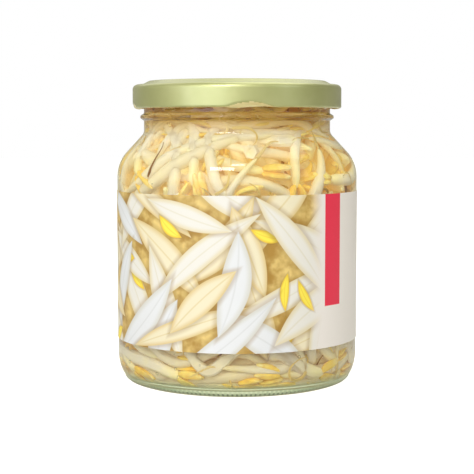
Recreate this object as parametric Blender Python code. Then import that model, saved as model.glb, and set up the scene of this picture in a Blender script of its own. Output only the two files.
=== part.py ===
"""A round glass jar of bean sprouts in brine, with a twist-off lid and a paper label.

Metres, +Z up. The origin is the middle of the foot, on the surface that the jar stands on, and the
label's front faces -Y. Lengths below are in millimetres until a mesh is made from them.
"""

import math

import bpy
import numpy as np

MM = 0.001
SEGMENTS = 40
BRINE_SEGMENTS = 24
GAP = 0.3

BODY_R = 39.7
WALL = 2.3
FOOT_OUTER_R = 34.4
FOOT_INNER_R = 31.6
PUSH_UP = 1.8
PUSH_UP_EDGE_R = 28.6
PUSH_UP_EDGE_Z = 1.3
HEEL_HEIGHT = 9.4
SHOULDER_START_Z = 67.5
SHOULDER_R = 12.0
SHOULDER_SLOPE = math.radians(42.8)
ARC_STEPS = 5
NECK_R = 30.8
NECK_FILLET = 2.5
NECK_INNER_FILLET = 1.5
BEAD_R = 32.0
BEAD_Z = 87.1
BEAD_HEIGHT = 2.4
BEAD_LAND = 0.9
RIM_Z = 96.3
RIM_FILLET = 0.8
BORE_R = 28.1
FLOOR_Z = 3.4
FLOOR_RISE = 1.4
FLOOR_DOME_R = 30.0
DOME_AT_HALF = 0.6
HEEL_INNER_FILLET = 8.0
LEAST_FILLET = 2.0

STARTS = 4
PITCH = 3.46
RISE_PER_DEGREE = STARTS * PITCH / 360
THREAD_START_DEG = -51.7
THREAD_SPAN_DEG = 100.0
THREAD_STEPS = 14
THREAD_Z = 88.7
THREAD_HEIGHT = 2.0
THREAD_ROOT_R = 29.9
THREAD_CREST_R = 32.3
THREAD_UNDER_FLANK = 0.3
THREAD_UPPER_FLANK = 0.5
THREAD_TAPER_DEG = 6.0
THREAD_END_SHARE = 0.35

SHEET = 0.5
LID_R = 34.5
LID_BOTTOM_Z = 89.9
LEDGE_Z = 97.65
LEDGE_RISE = 0.1
LEDGE_INNER_R = 31.4
LEDGE_FILLET = 1.6
PANEL_R = 29.2
PANEL_Z = 98.9
PANEL_SUNK = 0.7
PANEL_FILLET = 0.6
STEP_SHIFT = 0.2
RING_OUTER_R = 24.5
RING_INNER_R = 22.5
BUTTON_R = 9.5
BUTTON_SLOPE = 1.5
BUTTON_RISE = 0.35
BUTTON_CROWN = 0.1
CURL_HEIGHT = 1.3
CURL_DEPTH = 1.3
CURL_TAPER = 0.6
LUG_CENTRE_DEG = -83.0
LUG_SPAN_DEG = 20.0
LUG_TIP_R = 31.35
LUG_THICKNESS = 1.0
LUG_STEPS = 4
LUG_CLEARANCE = 0.2

SEAL_INNER_R = 28.3
SEAL_OUTER_R = 30.8
SEAL_THICKNESS = 1.4
SEAL_LIP = 0.4

LABEL_THICKNESS = 0.3
LABEL_LOW_Z = 14.3
LABEL_HIGH_Z = 62.5
LABEL_BACK_GAP = 11.0

BRINE_SKIN = 0.5
BRINE_TOP_Z = 91.5
BRINE_ARC_STEPS = 2

SEED = 11
LAYERS = 4
SPROUTS_A_LAYER = 66
SPROUT_POINTS = 14
SPROUT_LENGTH = (40.0, 64.0)
STEM_R = (1.5, 2.1)
HEAD_R = 2.5
LAYER_DEPTH = 2.6
LAYER_STEP = 3.3
END_ROOM = (4.0, 3.0)
HEADING_SPREAD = math.radians(38)
BEND_SPREAD = 0.028
HOOK = (0.05, 0.2)
HOOK_POINTS = 3
STEM_TAPER = ((0, 0.8), (0.1, 0.85), (0.3, 1), (0.75, 0.95), (0.9, 0.6), (1, 0.3))
OUTWARD = 0.004
DEEPEST = 15.0
WALL_ROOM = 0.5
SPROUT_TOP_Z = 90.5
SWEEPS = 90
PAIRS_EVERY = 6
PAIR_ROOM = 1.5
GROWN_FROM = 0.45
GROWING = 0.8
TOUCHING = 0.97
BEND_LIMITS = (1.6, 2.0)
SPROUTS_MODELLED = 116
STEM_SWELL = 1.1
THINNEST = 0.6
BUNCH_ROOM = 0.6
BUNCH_INSET = GAP + BRINE_SKIN + GAP + BUNCH_ROOM
CORE_DEPTH = 4.6
CORE_SEGMENTS = 20
CORE_FOOT = 6.0
CORE_BENDS = (0.0, 7.5, 16.0)
CORE_TOP_ROOM = 3.0
STEM_SIDES = 6
LEAF_SIDES = 6
LEAF_BASE = 1.5
LEAF_SECTIONS = ((2.4, 2.2), (5.6, 1.9))
LEAF_SPLAY = (0.9, 0.12)
LEAF_FLATNESS = 0.7
LEAF_TIP = (7.6, 1.4)
PRESS_STEP = 0.0006
BUNCH_GRAINS = (0.60, 0.62, 0.64, 0.66, 0.68, 0.70)
BUNCH_FACES = 8200


def rounded(corners, step=math.radians(15)):
    """Points (r, z) along the lines between corners (r, z, fillet radius), with an arc at each fillet."""
    points = [corners[0][:2]]
    for before, corner, after in zip(corners, corners[1:], corners[2:]):
        here = np.array(corner[:2])
        back = np.array(before[:2]) - here
        ahead = np.array(after[:2]) - here
        back /= np.linalg.norm(back)
        ahead /= np.linalg.norm(ahead)
        half = math.acos(float(np.clip(back @ ahead, -1, 1))) / 2
        if corner[2] == 0:
            points.append(tuple(here))
            continue
        middle = (back + ahead) / np.linalg.norm(back + ahead)
        centre = here + middle * corner[2] / math.sin(half)
        arms = [back, ahead]
        ends = [here + arm * corner[2] / math.tan(half) - centre for arm in arms]
        first = math.atan2(ends[0][1], ends[0][0])
        sweep = math.atan2(ends[1][1], ends[1][0]) - first
        sweep = (sweep + math.pi) % (2 * math.pi) - math.pi
        steps = max(1, math.ceil(abs(sweep) / step))
        for i in range(steps + 1):
            angle = first + sweep * i / steps
            points.append(tuple(centre + corner[2] * np.array([math.cos(angle), math.sin(angle)])))
    points.append(corners[-1][:2])
    return points


def make_object(name, vertices, faces, material, origin_z=0.0):
    """An object from vertices in mm and faces, with its origin on the jar's axis at origin_z."""
    mesh = bpy.data.meshes.new(name)
    shifted = (np.array(vertices, float) - (0, 0, origin_z)) * MM
    mesh.from_pydata(shifted.tolist(), [], [list(map(int, face)) for face in faces])
    mesh.materials.append(material)
    obj = bpy.data.objects.new(name, mesh)
    obj.location.z = origin_z * MM
    bpy.context.scene.collection.objects.link(obj)
    return obj


def turned(profile, segments=SEGMENTS, ring=False):
    """Vertices and faces of a profile (r, z) turned about the axis, with its outer side running up.

    A ring's profile is a closed loop clear of the axis. Any other starts and ends on the axis.
    """
    vertices, rows, faces = [], [], []
    for r, z in profile:
        count = 1 if r < 1e-6 else segments
        rows.append([len(vertices) + k for k in range(count)])
        for k in range(count):
            angle = 2 * math.pi * k / segments
            vertices.append((r * math.cos(angle), r * math.sin(angle), z))
    pairs = list(zip(rows, rows[1:] + rows[:1])) if ring else list(zip(rows, rows[1:]))
    for low, high in pairs:
        for k in range(segments):
            near, far = k, (k + 1) % segments
            face = [low[near % len(low)], low[far % len(low)]]
            face += [high[far % len(high)], high[near % len(high)]]
            faces.append(list(dict.fromkeys(face)))
    return vertices, faces


def swept(section, start_deg, span_deg, steps, rise=0.0, taper_deg=0.0):
    """Vertices and faces of a closed section (r, z) swept round the axis, rising by rise for each degree.

    Over taper_deg at each end the section's outer points draw in to its first point's radius.
    """
    vertices, faces = [], []
    root = section[0][0]
    size = len(section)
    for i in range(steps + 1):
        turn = span_deg * i / steps
        angle = math.radians(start_deg + turn)
        ends = min(turn, span_deg - turn)
        tapered = THREAD_END_SHARE + (1 - THREAD_END_SHARE) * ends / (taper_deg or 1.0)
        grown = min(1.0, tapered) if taper_deg else 1.0
        for r, z in section:
            radius = root + (r - root) * grown
            vertices.append((radius * math.cos(angle), radius * math.sin(angle), z + rise * turn))
    for i in range(steps):
        for j in range(size):
            a, b = i * size + j, i * size + (j + 1) % size
            faces.append([a, a + size, b + size, b])
    faces.append(list(range(size)))
    faces.append(list(reversed(range(steps * size, (steps + 1) * size))))
    return vertices, faces


def apply_modifiers(obj):
    bpy.context.view_layer.update()
    graph = bpy.context.evaluated_depsgraph_get()
    applied = bpy.data.meshes.new_from_object(obj.evaluated_get(graph))
    obj.modifiers.clear()
    obj.data = applied


def join(base, pieces, solver="EXACT"):
    """Unions the pieces into the base, applies the union and removes them."""
    group = bpy.data.collections.new(base.name + "_pieces")
    for piece in pieces:
        bpy.context.scene.collection.objects.unlink(piece)
        group.objects.link(piece)
    bpy.context.scene.collection.children.link(group)
    union = base.modifiers.new("union", "BOOLEAN")
    union.operation = "UNION"
    union.operand_type = "COLLECTION"
    union.collection = group
    union.solver = solver
    apply_modifiers(base)
    for piece in pieces:
        bpy.data.objects.remove(piece, do_unlink=True)
    bpy.data.collections.remove(group)


def keep_largest_body(obj):
    """Drops the loose scraps that a union leaves."""
    mesh = obj.data
    parent = list(range(len(mesh.vertices)))

    def root_of(i):
        while parent[i] != i:
            parent[i] = parent[parent[i]]
            i = parent[i]
        return i

    for edge in mesh.edges:
        a, b = (root_of(i) for i in edge.vertices)
        parent[a] = b
    roots = np.array([root_of(i) for i in range(len(mesh.vertices))])
    names, sizes = np.unique(roots, return_counts=True)
    keep = roots == names[sizes.argmax()]
    renumbered = np.cumsum(keep) - 1
    vertices = [tuple(v.co) for v in mesh.vertices if keep[v.index]]
    faces = [
        [int(renumbered[i]) for i in face.vertices]
        for face in mesh.polygons
        if keep[face.vertices[0]]
    ]
    material = mesh.materials[0]
    mesh.clear_geometry()
    mesh.from_pydata(vertices, [], faces)
    if not mesh.materials:
        mesh.materials.append(material)


def shade(obj, angle_deg=35):
    obj.data.shade_smooth()
    obj.data.set_sharp_from_angle(angle=math.radians(angle_deg))


def material(name, colour, roughness, metallic=0.0, alpha=1.0, transmission=0.0, ior=1.5):
    made = bpy.data.materials.new(name)
    made.use_nodes = True
    shader = made.node_tree.nodes["Principled BSDF"]
    shader.inputs["Base Color"].default_value = (*colour, 1)
    shader.inputs["Roughness"].default_value = roughness
    shader.inputs["Metallic"].default_value = metallic
    shader.inputs["Alpha"].default_value = alpha
    shader.inputs["Transmission Weight"].default_value = transmission
    shader.inputs["IOR"].default_value = ior
    return made


def outer_path():
    """The jar's outside, from the middle of its underside up to the rim."""
    under = rounded(
        [
            (0, PUSH_UP, 0),
            (PUSH_UP_EDGE_R, PUSH_UP_EDGE_Z, 0),
            (FOOT_INNER_R, 0, 0),
            (FOOT_OUTER_R, 0, 0),
        ]
    )
    heel = []
    for i in range(1, ARC_STEPS + 1):
        angle = math.radians(90 * i / ARC_STEPS)
        out = (BODY_R - FOOT_OUTER_R) * math.sin(angle)
        heel.append((FOOT_OUTER_R + out, HEEL_HEIGHT * (1 - math.cos(angle))))
    arc_end = SHOULDER_START_Z + SHOULDER_R * math.sin(SHOULDER_SLOPE)
    arc_end_r = BODY_R - SHOULDER_R * (1 - math.cos(SHOULDER_SLOPE))
    shoulder = []
    for i in range(ARC_STEPS + 1):
        angle = SHOULDER_SLOPE * i / ARC_STEPS
        r = BODY_R - SHOULDER_R * (1 - math.cos(angle))
        shoulder.append((r, SHOULDER_START_Z + SHOULDER_R * math.sin(angle)))
    neck_z = arc_end + (arc_end_r - NECK_R) / math.tan(SHOULDER_SLOPE)
    low, high = BEAD_Z - BEAD_HEIGHT / 2, BEAD_Z + BEAD_HEIGHT / 2
    neck = rounded(
        [
            shoulder[-1] + (0,),
            (NECK_R, neck_z, NECK_FILLET),
            (NECK_R, low, 0),
            (BEAD_R, BEAD_Z - BEAD_LAND / 2, 0),
            (BEAD_R, BEAD_Z + BEAD_LAND / 2, 0),
            (NECK_R, high, 0),
            (NECK_R, RIM_Z, RIM_FILLET),
            (BORE_R, RIM_Z, RIM_FILLET),
            (BORE_R, RIM_Z - 2 * RIM_FILLET, 0),
        ],
        math.radians(45),
    )
    return under + heel + shoulder + neck[1:-1]


def cavity_path(inset, top_z, steps=ARC_STEPS):
    """The jar's inside drawn in by inset, from top_z down its wall to the middle of its floor."""
    centre_r = BODY_R - SHOULDER_R
    arc_r = SHOULDER_R - WALL - inset
    bore = BORE_R - inset
    arc = []
    for i in range(steps + 1):
        angle = SHOULDER_SLOPE * (steps - i) / steps
        arc.append((centre_r + arc_r * math.cos(angle), SHOULDER_START_Z + arc_r * math.sin(angle)))
    neck_z = arc[0][1] + (arc[0][0] - bore) / math.tan(SHOULDER_SLOPE)
    body = BODY_R - WALL - inset
    fillet = max(HEEL_INNER_FILLET - inset, LEAST_FILLET)
    floor = FLOOR_Z + inset
    neck = rounded([(bore, top_z, 0), (bore, neck_z, NECK_INNER_FILLET + inset), arc[0] + (0,)])
    halfway = (body / 2, floor + FLOOR_RISE * DOME_AT_HALF, 0)
    heel = rounded([arc[-1] + (0,), (body, floor, fillet), halfway], math.radians(23))
    return neck[:-1] + arc + heel[1:] + [(0, floor + FLOOR_RISE)]


def make_jar(glass):
    profile = outer_path() + cavity_path(0, RIM_Z)[1:]
    jar = make_object("jar", *turned(profile), glass)
    low, high = THREAD_Z, THREAD_Z + THREAD_HEIGHT
    section = [
        (THREAD_ROOT_R, low),
        (THREAD_CREST_R, low + THREAD_UNDER_FLANK),
        (THREAD_CREST_R, high - THREAD_UPPER_FLANK),
        (THREAD_ROOT_R, high),
    ]
    threads = []
    for i in range(STARTS):
        start = THREAD_START_DEG + i * 360 / STARTS
        shape = swept(
            section, start, THREAD_SPAN_DEG, THREAD_STEPS, RISE_PER_DEGREE, THREAD_TAPER_DEG
        )
        threads.append(make_object(f"thread_{i}", *shape, glass))
    join(jar, threads)
    shade(jar)
    return jar


def make_lid(tinplate):
    skirt_in = LID_R - SHEET
    curl_in = LID_R - CURL_DEPTH
    low = PANEL_Z - PANEL_SUNK
    under = rounded(
        [
            (0, low - SHEET, 0),
            (RING_INNER_R, low - SHEET, 0),
            (RING_OUTER_R, PANEL_Z - SHEET, 0),
            (PANEL_R - STEP_SHIFT, PANEL_Z - SHEET, 0),
            (LEDGE_INNER_R - STEP_SHIFT, LEDGE_Z - SHEET, 0),
            (skirt_in, LEDGE_Z - SHEET, LEDGE_FILLET - SHEET),
            (skirt_in, LID_BOTTOM_Z + CURL_HEIGHT + CURL_TAPER, 0),
            (curl_in, LID_BOTTOM_Z + CURL_HEIGHT, 0),
            (curl_in, LID_BOTTOM_Z, SHEET),
            (LID_R, LID_BOTTOM_Z, SHEET),
            (LID_R, LEDGE_Z, LEDGE_FILLET),
            (LEDGE_INNER_R, LEDGE_Z + LEDGE_RISE, 0),
            (PANEL_R, PANEL_Z, PANEL_FILLET),
            (RING_OUTER_R, PANEL_Z, 0),
            (RING_INNER_R, low, 0),
            (BUTTON_R + BUTTON_SLOPE, low, 0),
            (BUTTON_R, low + BUTTON_RISE, 0),
            (0, low + BUTTON_RISE + BUTTON_CROWN, 0),
        ],
        math.radians(31),
    )
    lid = make_object("lid", *turned(under), tinplate, LID_BOTTOM_Z)
    past_start = LUG_CENTRE_DEG - LUG_SPAN_DEG / 2 - THREAD_START_DEG + 360 / STARTS
    top = THREAD_Z - LUG_CLEARANCE + RISE_PER_DEGREE * past_start
    section = [
        (LID_R - SHEET / 2, top - LUG_THICKNESS),
        (LID_R - SHEET / 2, top),
        (LUG_TIP_R, top),
        (LUG_TIP_R, top - LUG_THICKNESS),
    ]
    lugs = []
    for i in range(STARTS):
        start = LUG_CENTRE_DEG - LUG_SPAN_DEG / 2 + i * 360 / STARTS
        shape = swept(section, start, LUG_SPAN_DEG, LUG_STEPS, RISE_PER_DEGREE)
        lugs.append(make_object(f"lug_{i}", *shape, tinplate, LID_BOTTOM_Z))
    join(lid, lugs)
    shade(lid)
    return lid


def make_seal(compound):
    top = PANEL_Z - SHEET - GAP
    low = top - SEAL_THICKNESS
    middle = (SEAL_INNER_R + SEAL_OUTER_R) / 2
    profile = [(SEAL_INNER_R, low), (SEAL_OUTER_R, low), (SEAL_OUTER_R, low + SEAL_LIP)]
    profile += [(middle - SEAL_LIP, top), (SEAL_INNER_R, top)]
    seal = make_object("lid_seal", *turned(profile, ring=True), compound, low)
    shade(seal)
    return seal


def make_label(paper):
    inner = BODY_R + GAP
    outer = inner + LABEL_THICKNESS
    section = [(inner, LABEL_LOW_Z), (outer, LABEL_LOW_Z), (outer, LABEL_HIGH_Z), (inner, LABEL_HIGH_Z)]
    gap_deg = math.degrees(LABEL_BACK_GAP / outer)
    shape = swept(section, 90 + gap_deg / 2, 360 - gap_deg, SEGMENTS)
    label = make_object("label", *shape, paper)
    shade(label)
    return label


def make_brine(liquid):
    outside = cavity_path(GAP, BRINE_TOP_Z, BRINE_ARC_STEPS)
    inside = cavity_path(GAP + BRINE_SKIN, BRINE_TOP_Z, BRINE_ARC_STEPS)
    profile = list(reversed(outside)) + inside
    brine = make_object("brine", *turned(profile, BRINE_SEGMENTS), liquid)
    shade(brine)
    return brine


def wall_at(heights, inset):
    """The cavity's radius at each height, drawn in by inset."""
    path = cavity_path(inset, RIM_Z)[:-2]
    return np.interp(heights, [z for _, z in path][::-1], [r for r, _ in path][::-1])


def first_lines(rng, count):
    """Centre lines that follow the wall in layers, each with its own heading and bend."""
    depth = np.repeat(LAYER_DEPTH + LAYER_STEP * np.arange(LAYERS), SPROUTS_A_LAYER)
    step = rng.uniform(*SPROUT_LENGTH, count) / (SPROUT_POINTS - 1)
    angle = rng.uniform(0, 2 * math.pi, count)
    low, high = FLOOR_Z + FLOOR_RISE + END_ROOM[0], SPROUT_TOP_Z - END_ROOM[1]
    height = rng.uniform(low, high, count)
    heading = rng.normal(0, HEADING_SPREAD, count) + math.pi * rng.integers(0, 2, count)
    bend = rng.normal(0, BEND_SPREAD, count)
    hook = rng.choice([-1, 1], count) * rng.uniform(*HOOK, count)
    lines = np.zeros((count, SPROUT_POINTS, 3))
    for i in range(SPROUT_POINTS):
        radius = wall_at(height, BUNCH_INSET) - depth
        lines[:, i] = np.stack([radius * np.cos(angle), radius * np.sin(angle), height], axis=1)
        angle = angle + np.cos(heading) * step / radius
        height = height + np.sin(heading) * step
        heading = np.where((height < low) | (height > high), -heading, heading)
        height = np.clip(height, low, high)
        heading = heading + bend * step + (hook if i < HOOK_POINTS else 0)
    return lines, step


def point_radii(stem):
    """The radius of each sprout at each of its points, from its head to the tip of its root."""
    along = np.linspace(0, 1, SPROUT_POINTS)
    shape = np.interp(along, *zip(*STEM_TAPER))
    radii = stem[:, None] * shape
    radii[:, 0] = HEAD_R
    return radii


def push_apart(flat, radii, owner, pairs):
    a, b = pairs
    delta = flat[b] - flat[a]
    distance = np.linalg.norm(delta, axis=1) + 1e-9
    overlap = radii[a] + radii[b] - distance
    hit = (overlap > 0) & (owner[a] != owner[b])
    a, b = a[hit], b[hit]
    move = delta[hit] * (0.5 * overlap[hit] / distance[hit])[:, None]
    for axis in range(3):
        flat[:, axis] -= np.bincount(a, move[:, axis], len(flat))
        flat[:, axis] += np.bincount(b, move[:, axis], len(flat))


def close_pairs(flat, reach):
    square = (flat**2).sum(axis=1)
    apart = square[:, None] + square[None, :] - 2 * flat @ flat.T
    return np.nonzero(np.triu(apart < reach**2, 1))


def hold_spacing(lines, spacing, skip, share):
    """Draws points that are skip apart along each line towards their spacing."""
    for phase in range(2 * skip):
        a = lines[:, phase : lines.shape[1] - skip : 2 * skip]
        b = lines[:, phase + skip :: 2 * skip][:, : a.shape[1]]
        delta = b - a
        distance = np.linalg.norm(delta, axis=2, keepdims=True) + 1e-9
        wanted = spacing[:, phase : phase + 2 * skip * a.shape[1] : 2 * skip][:, : a.shape[1], None]
        move = delta * (0.5 * share * (distance - wanted) / distance)
        a += move
        b -= move


def floor_at(reach):
    """The lowest that the bunch comes at each distance from the axis."""
    return FLOOR_Z + BUNCH_INSET + FLOOR_RISE * np.maximum(0, 1 - reach / FLOOR_DOME_R)


def hold_inside(lines, radii):
    reach = np.hypot(lines[..., 0], lines[..., 1]) + 1e-9
    lines[..., 2] = np.clip(lines[..., 2], floor_at(reach) + radii, SPROUT_TOP_Z - radii)
    limit = wall_at(lines[..., 2] + WALL_ROOM, BUNCH_INSET) - radii
    kept = np.clip(reach, limit - DEEPEST, limit)
    lines[..., :2] *= (kept / reach)[..., None]


def lay_out_sprouts():
    """Centre lines (sprout, point, xyz) and radii (sprout, point) of the sprouts, packed in the jar."""
    rng = np.random.default_rng(SEED)
    count = LAYERS * SPROUTS_A_LAYER
    lines, step = first_lines(rng, count)
    radii = point_radii(rng.uniform(*STEM_R, count))
    spacing = np.repeat(step[:, None], SPROUT_POINTS - 1, axis=1)
    bent = np.linalg.norm(lines[:, 2:] - lines[:, :-2], axis=2)
    bent = np.clip(bent, *(limit * step[:, None] for limit in BEND_LIMITS))
    owner = np.repeat(np.arange(count), SPROUT_POINTS)
    for sweep in range(SWEEPS):
        grown = radii * min(1.0, GROWN_FROM + GROWING * sweep / SWEEPS)
        flat = lines.reshape(-1, 3)
        flat[:, :2] *= 1 + OUTWARD * (1 - sweep / SWEEPS)
        if sweep % PAIRS_EVERY == 0:
            pairs = close_pairs(flat, 2 * HEAD_R + PAIR_ROOM)
        push_apart(flat, grown.reshape(-1) * TOUCHING, owner, pairs)
        for _ in range(2):
            hold_spacing(lines, bent, 2, 0.5)
            hold_spacing(lines, spacing, 1, 1.0)
        hold_inside(lines, radii)
    return lines, radii


def frames(line):
    """For each point of a line, two unit vectors across it: one along the wall, one away from it."""
    along = np.gradient(line, axis=0)
    along /= np.linalg.norm(along, axis=1, keepdims=True)
    outward = line * (1, 1, 0)
    across = np.cross(along, outward)
    across /= np.linalg.norm(across, axis=1, keepdims=True) + 1e-9
    return along, across, np.cross(along, across)


def loft(rings, first_tip, last_tip):
    """Vertices and faces of a closed body through rings of points, with a tip at each end."""
    sides = len(rings[0])
    vertices = [first_tip] + [point for ring in rings for point in ring] + [last_tip]
    last = len(vertices) - 1
    faces = []
    for k in range(sides):
        near, far = 1 + k, 1 + (k + 1) % sides
        faces.append([0, far, near])
        for i in range(len(rings) - 1):
            row = i * sides
            faces.append([near + row, far + row, far + row + sides])
            faces.append([near + row, far + row + sides, near + row + sides])
        row = (len(rings) - 1) * sides
        faces.append([near + row, far + row, last])
    return vertices, faces


def stem_shape(line, radii):
    along, across, out = frames(line)
    turns = 2 * math.pi * np.arange(STEM_SIDES) / STEM_SIDES
    rings = []
    for i in range(1, SPROUT_POINTS - 1):
        round_it = np.outer(np.cos(turns), across[i]) + np.outer(np.sin(turns), out[i])
        rings.append(line[i] + max(radii[i] * STEM_SWELL, THINNEST) * round_it)
    first = line[0]
    last = line[-1] + along[-1] * THINNEST
    return loft(rings, first, last)


def seed_leaf_shape(line, side):
    """One of the two seed leaves at a sprout's head: a long bean half that leans away from the other."""
    along, across, out = (axes[0] for axes in frames(line))
    base = line[0] + along * LEAF_BASE
    turns = 2 * math.pi * np.arange(LEAF_SIDES) / LEAF_SIDES
    rings = []
    for reach, wide in LEAF_SECTIONS:
        middle = base - along * reach + across * side * (LEAF_SPLAY[0] + LEAF_SPLAY[1] * reach)
        round_it = np.outer(np.cos(turns), across * LEAF_FLATNESS) + np.outer(np.sin(turns), out)
        rings.append(middle + wide * round_it)
    tip = base - along * LEAF_TIP[0] + across * side * LEAF_TIP[1]
    return loft([ring[::-1] for ring in rings], base, tip)


def core_path():
    """The bunch's core, a plain turned body that the outer sprouts are sunk in."""
    inset = BUNCH_INSET + CORE_DEPTH
    floor = FLOOR_Z + FLOOR_RISE + inset
    heights = [floor + CORE_FOOT] + [SHOULDER_START_Z + bend for bend in CORE_BENDS]
    side = list(zip(wall_at(heights, inset), heights))
    top = SPROUT_TOP_Z - CORE_TOP_ROOM
    return [(0, floor), (side[0][0] - CORE_FOOT, floor)] + side + [(side[-1][0], top), (0, top)]


def pressed_in(points, extra):
    """The points, with those that would reach past the wall or the floor pressed back against it.

    Each piece has its own small extra, so that no two of them share a surface, which a union can't join.
    """
    points = np.array(points, float)
    reach = np.hypot(points[:, 0], points[:, 1]) + 1e-9
    points[:, 2] = np.clip(points[:, 2], floor_at(reach) + extra, SPROUT_TOP_Z - extra)
    limit = wall_at(points[:, 2], BUNCH_INSET + extra)
    points[:, :2] *= (np.minimum(reach, limit) / reach)[:, None]
    return points


def pinched_edges(mesh):
    """How many edges aren't shared by exactly two faces."""
    uses = np.zeros(len(mesh.edges), int)
    for face in mesh.polygons:
        for loop in face.loop_indices:
            uses[mesh.loops[loop].edge_index] += 1
    return int((uses != 2).sum())


def make_even(bunch, grain):
    """Melts the union's slivers into even faces and thins them out, dropping loose scraps and hollows."""
    even = bunch.modifiers.new("even", "REMESH")
    even.mode = "VOXEL"
    even.voxel_size = grain * MM
    bunch.modifiers.new("triangles", "TRIANGULATE")
    apply_modifiers(bunch)
    keep_largest_body(bunch)
    thin_out = bunch.modifiers.new("thin_out", "DECIMATE")
    thin_out.ratio = BUNCH_FACES / len(bunch.data.polygons)
    apply_modifiers(bunch)


def outermost(lines):
    """The sprouts nearest to the wall."""
    depth = wall_at(lines[..., 2], BUNCH_INSET) - np.hypot(lines[..., 0], lines[..., 1])
    return np.argsort(depth.mean(axis=1))[:SPROUTS_MODELLED]


def make_sprouts(ivory):
    """The bunch: the outermost sprouts, standing out of a core that fills the rest of the jar."""
    lines, radii = lay_out_sprouts()
    bunch = make_object("sprouts", *turned(core_path(), CORE_SEGMENTS), ivory)
    pieces = []
    for i in outermost(lines):
        shapes = [stem_shape(lines[i], radii[i])]
        shapes += [seed_leaf_shape(lines[i], side) for side in (-1, 1)]
        for points, faces in shapes:
            kept_in = pressed_in(points, PRESS_STEP * len(pieces))
            pieces.append(make_object(f"sprout_{len(pieces)}", kept_in, faces, ivory))
    join(bunch, pieces, "MANIFOLD")
    joined = bunch.data
    for grain in BUNCH_GRAINS:
        bunch.data = joined.copy()
        make_even(bunch, grain)
        if pinched_edges(bunch.data) == 0:
            break
    return bunch


def main():
    for obj in list(bpy.data.objects):
        bpy.data.objects.remove(obj, do_unlink=True)
    make_jar(material("clear glass", (0.80, 0.86, 0.76), 0.02, transmission=1.0, ior=1.52))
    make_lid(material("gold lacquered tinplate", (0.55, 0.57, 0.25), 0.3, metallic=0.8))
    make_seal(material("sealing compound", (0.75, 0.72, 0.62), 0.6))
    make_label(material("label paper", (0.87, 0.83, 0.72), 0.55))
    make_brine(material("brine", (0.85, 0.68, 0.35), 0.0, transmission=1.0, ior=1.335))
    make_sprouts(material("bean sprouts", (0.86, 0.76, 0.52), 0.35))


main()
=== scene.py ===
"""The looks of a jar of bean sprouts: blown glass, a lacquered lid, a printed label and wet sprouts.

Sizes are in millimetres until a mesh is made from them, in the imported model's own frame: the origin is the
middle of the foot, +Z is up and the label's front faces -Y.
"""

import math

import bpy
import numpy as np
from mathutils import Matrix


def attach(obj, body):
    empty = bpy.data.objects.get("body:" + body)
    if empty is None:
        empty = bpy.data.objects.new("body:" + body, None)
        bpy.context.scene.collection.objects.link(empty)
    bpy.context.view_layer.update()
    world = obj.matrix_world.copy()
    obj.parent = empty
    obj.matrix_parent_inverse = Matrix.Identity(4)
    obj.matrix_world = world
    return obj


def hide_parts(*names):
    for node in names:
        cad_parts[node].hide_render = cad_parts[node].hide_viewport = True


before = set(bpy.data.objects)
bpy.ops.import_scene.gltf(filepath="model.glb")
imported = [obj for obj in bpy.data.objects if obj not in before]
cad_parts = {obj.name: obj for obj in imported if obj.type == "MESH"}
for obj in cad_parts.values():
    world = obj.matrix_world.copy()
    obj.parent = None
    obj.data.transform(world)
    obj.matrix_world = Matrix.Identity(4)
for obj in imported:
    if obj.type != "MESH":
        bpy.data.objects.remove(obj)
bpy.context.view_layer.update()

MM = 0.001
TINY = 1e-9

BODY_R = 39.7
WALL = 2.3
FOOT_OUTER_R = 34.4
FOOT_INNER_R = 31.6
PUSH_UP = 1.8
PUSH_UP_EDGE_R = 28.6
PUSH_UP_EDGE_Z = 1.3
HEEL_HEIGHT = 9.4
SHOULDER_START_Z = 67.5
SHOULDER_R = 12.0
SHOULDER_SLOPE = math.radians(42.8)
NECK_R = 30.8
NECK_FILLET = 2.5
NECK_INNER_FILLET = 1.5
BEAD_R = 32.0
BEAD_Z = 87.1
BEAD_HEIGHT = 2.4
BEAD_LAND = 0.9
BEAD_FILLET = 0.5
RIM_Z = 96.3
RIM_FILLET = 0.8
BORE_R = 28.1
FLOOR_Z = 3.4
FLOOR_RISE = 1.4
FLOOR_DOME_R = 30.0
DOME_AT_HALF = 0.6
HEEL_INNER_FILLET = 8.0
LEAST_FILLET = 2.0
SEEN_FLOOR_Z = 2.6
SEEN_HEEL_FILLET = 5.0

GLASS_SEGMENTS = 480
ARC_STEPS = 14
FINE_ARC = math.radians(15)
WALL_SPAN = 4.5
THREAD_SPAN = 0.3
SEAM_HEIGHT = 0.08
SEAM_HALF_DEG = 0.5
STIPPLE = 0.3
STIPPLE_DOTS = 160
STIPPLE_ROWS = (0.4, 1.6)
STIPPLE_SOFT = 0.2
WAVE = 0.16
WAVES = ((1.0, 2, 17), (0.6, 5, -9), (0.4, 9, 5))
WAVE_IN = (6, 10)
WAVE_OUT = (84, 14)

STARTS = 4
PITCH = 3.46
RISE_PER_DEGREE = STARTS * PITCH / 360
THREAD_START_DEG = -51.7
THREAD_SPAN_DEG = 100.0
THREAD_Z = 88.7
THREAD_HEIGHT = 2.0
THREAD_CREST_R = 32.3
THREAD_FLANK = 0.6
THREAD_TAPER_DEG = 8.0

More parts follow.
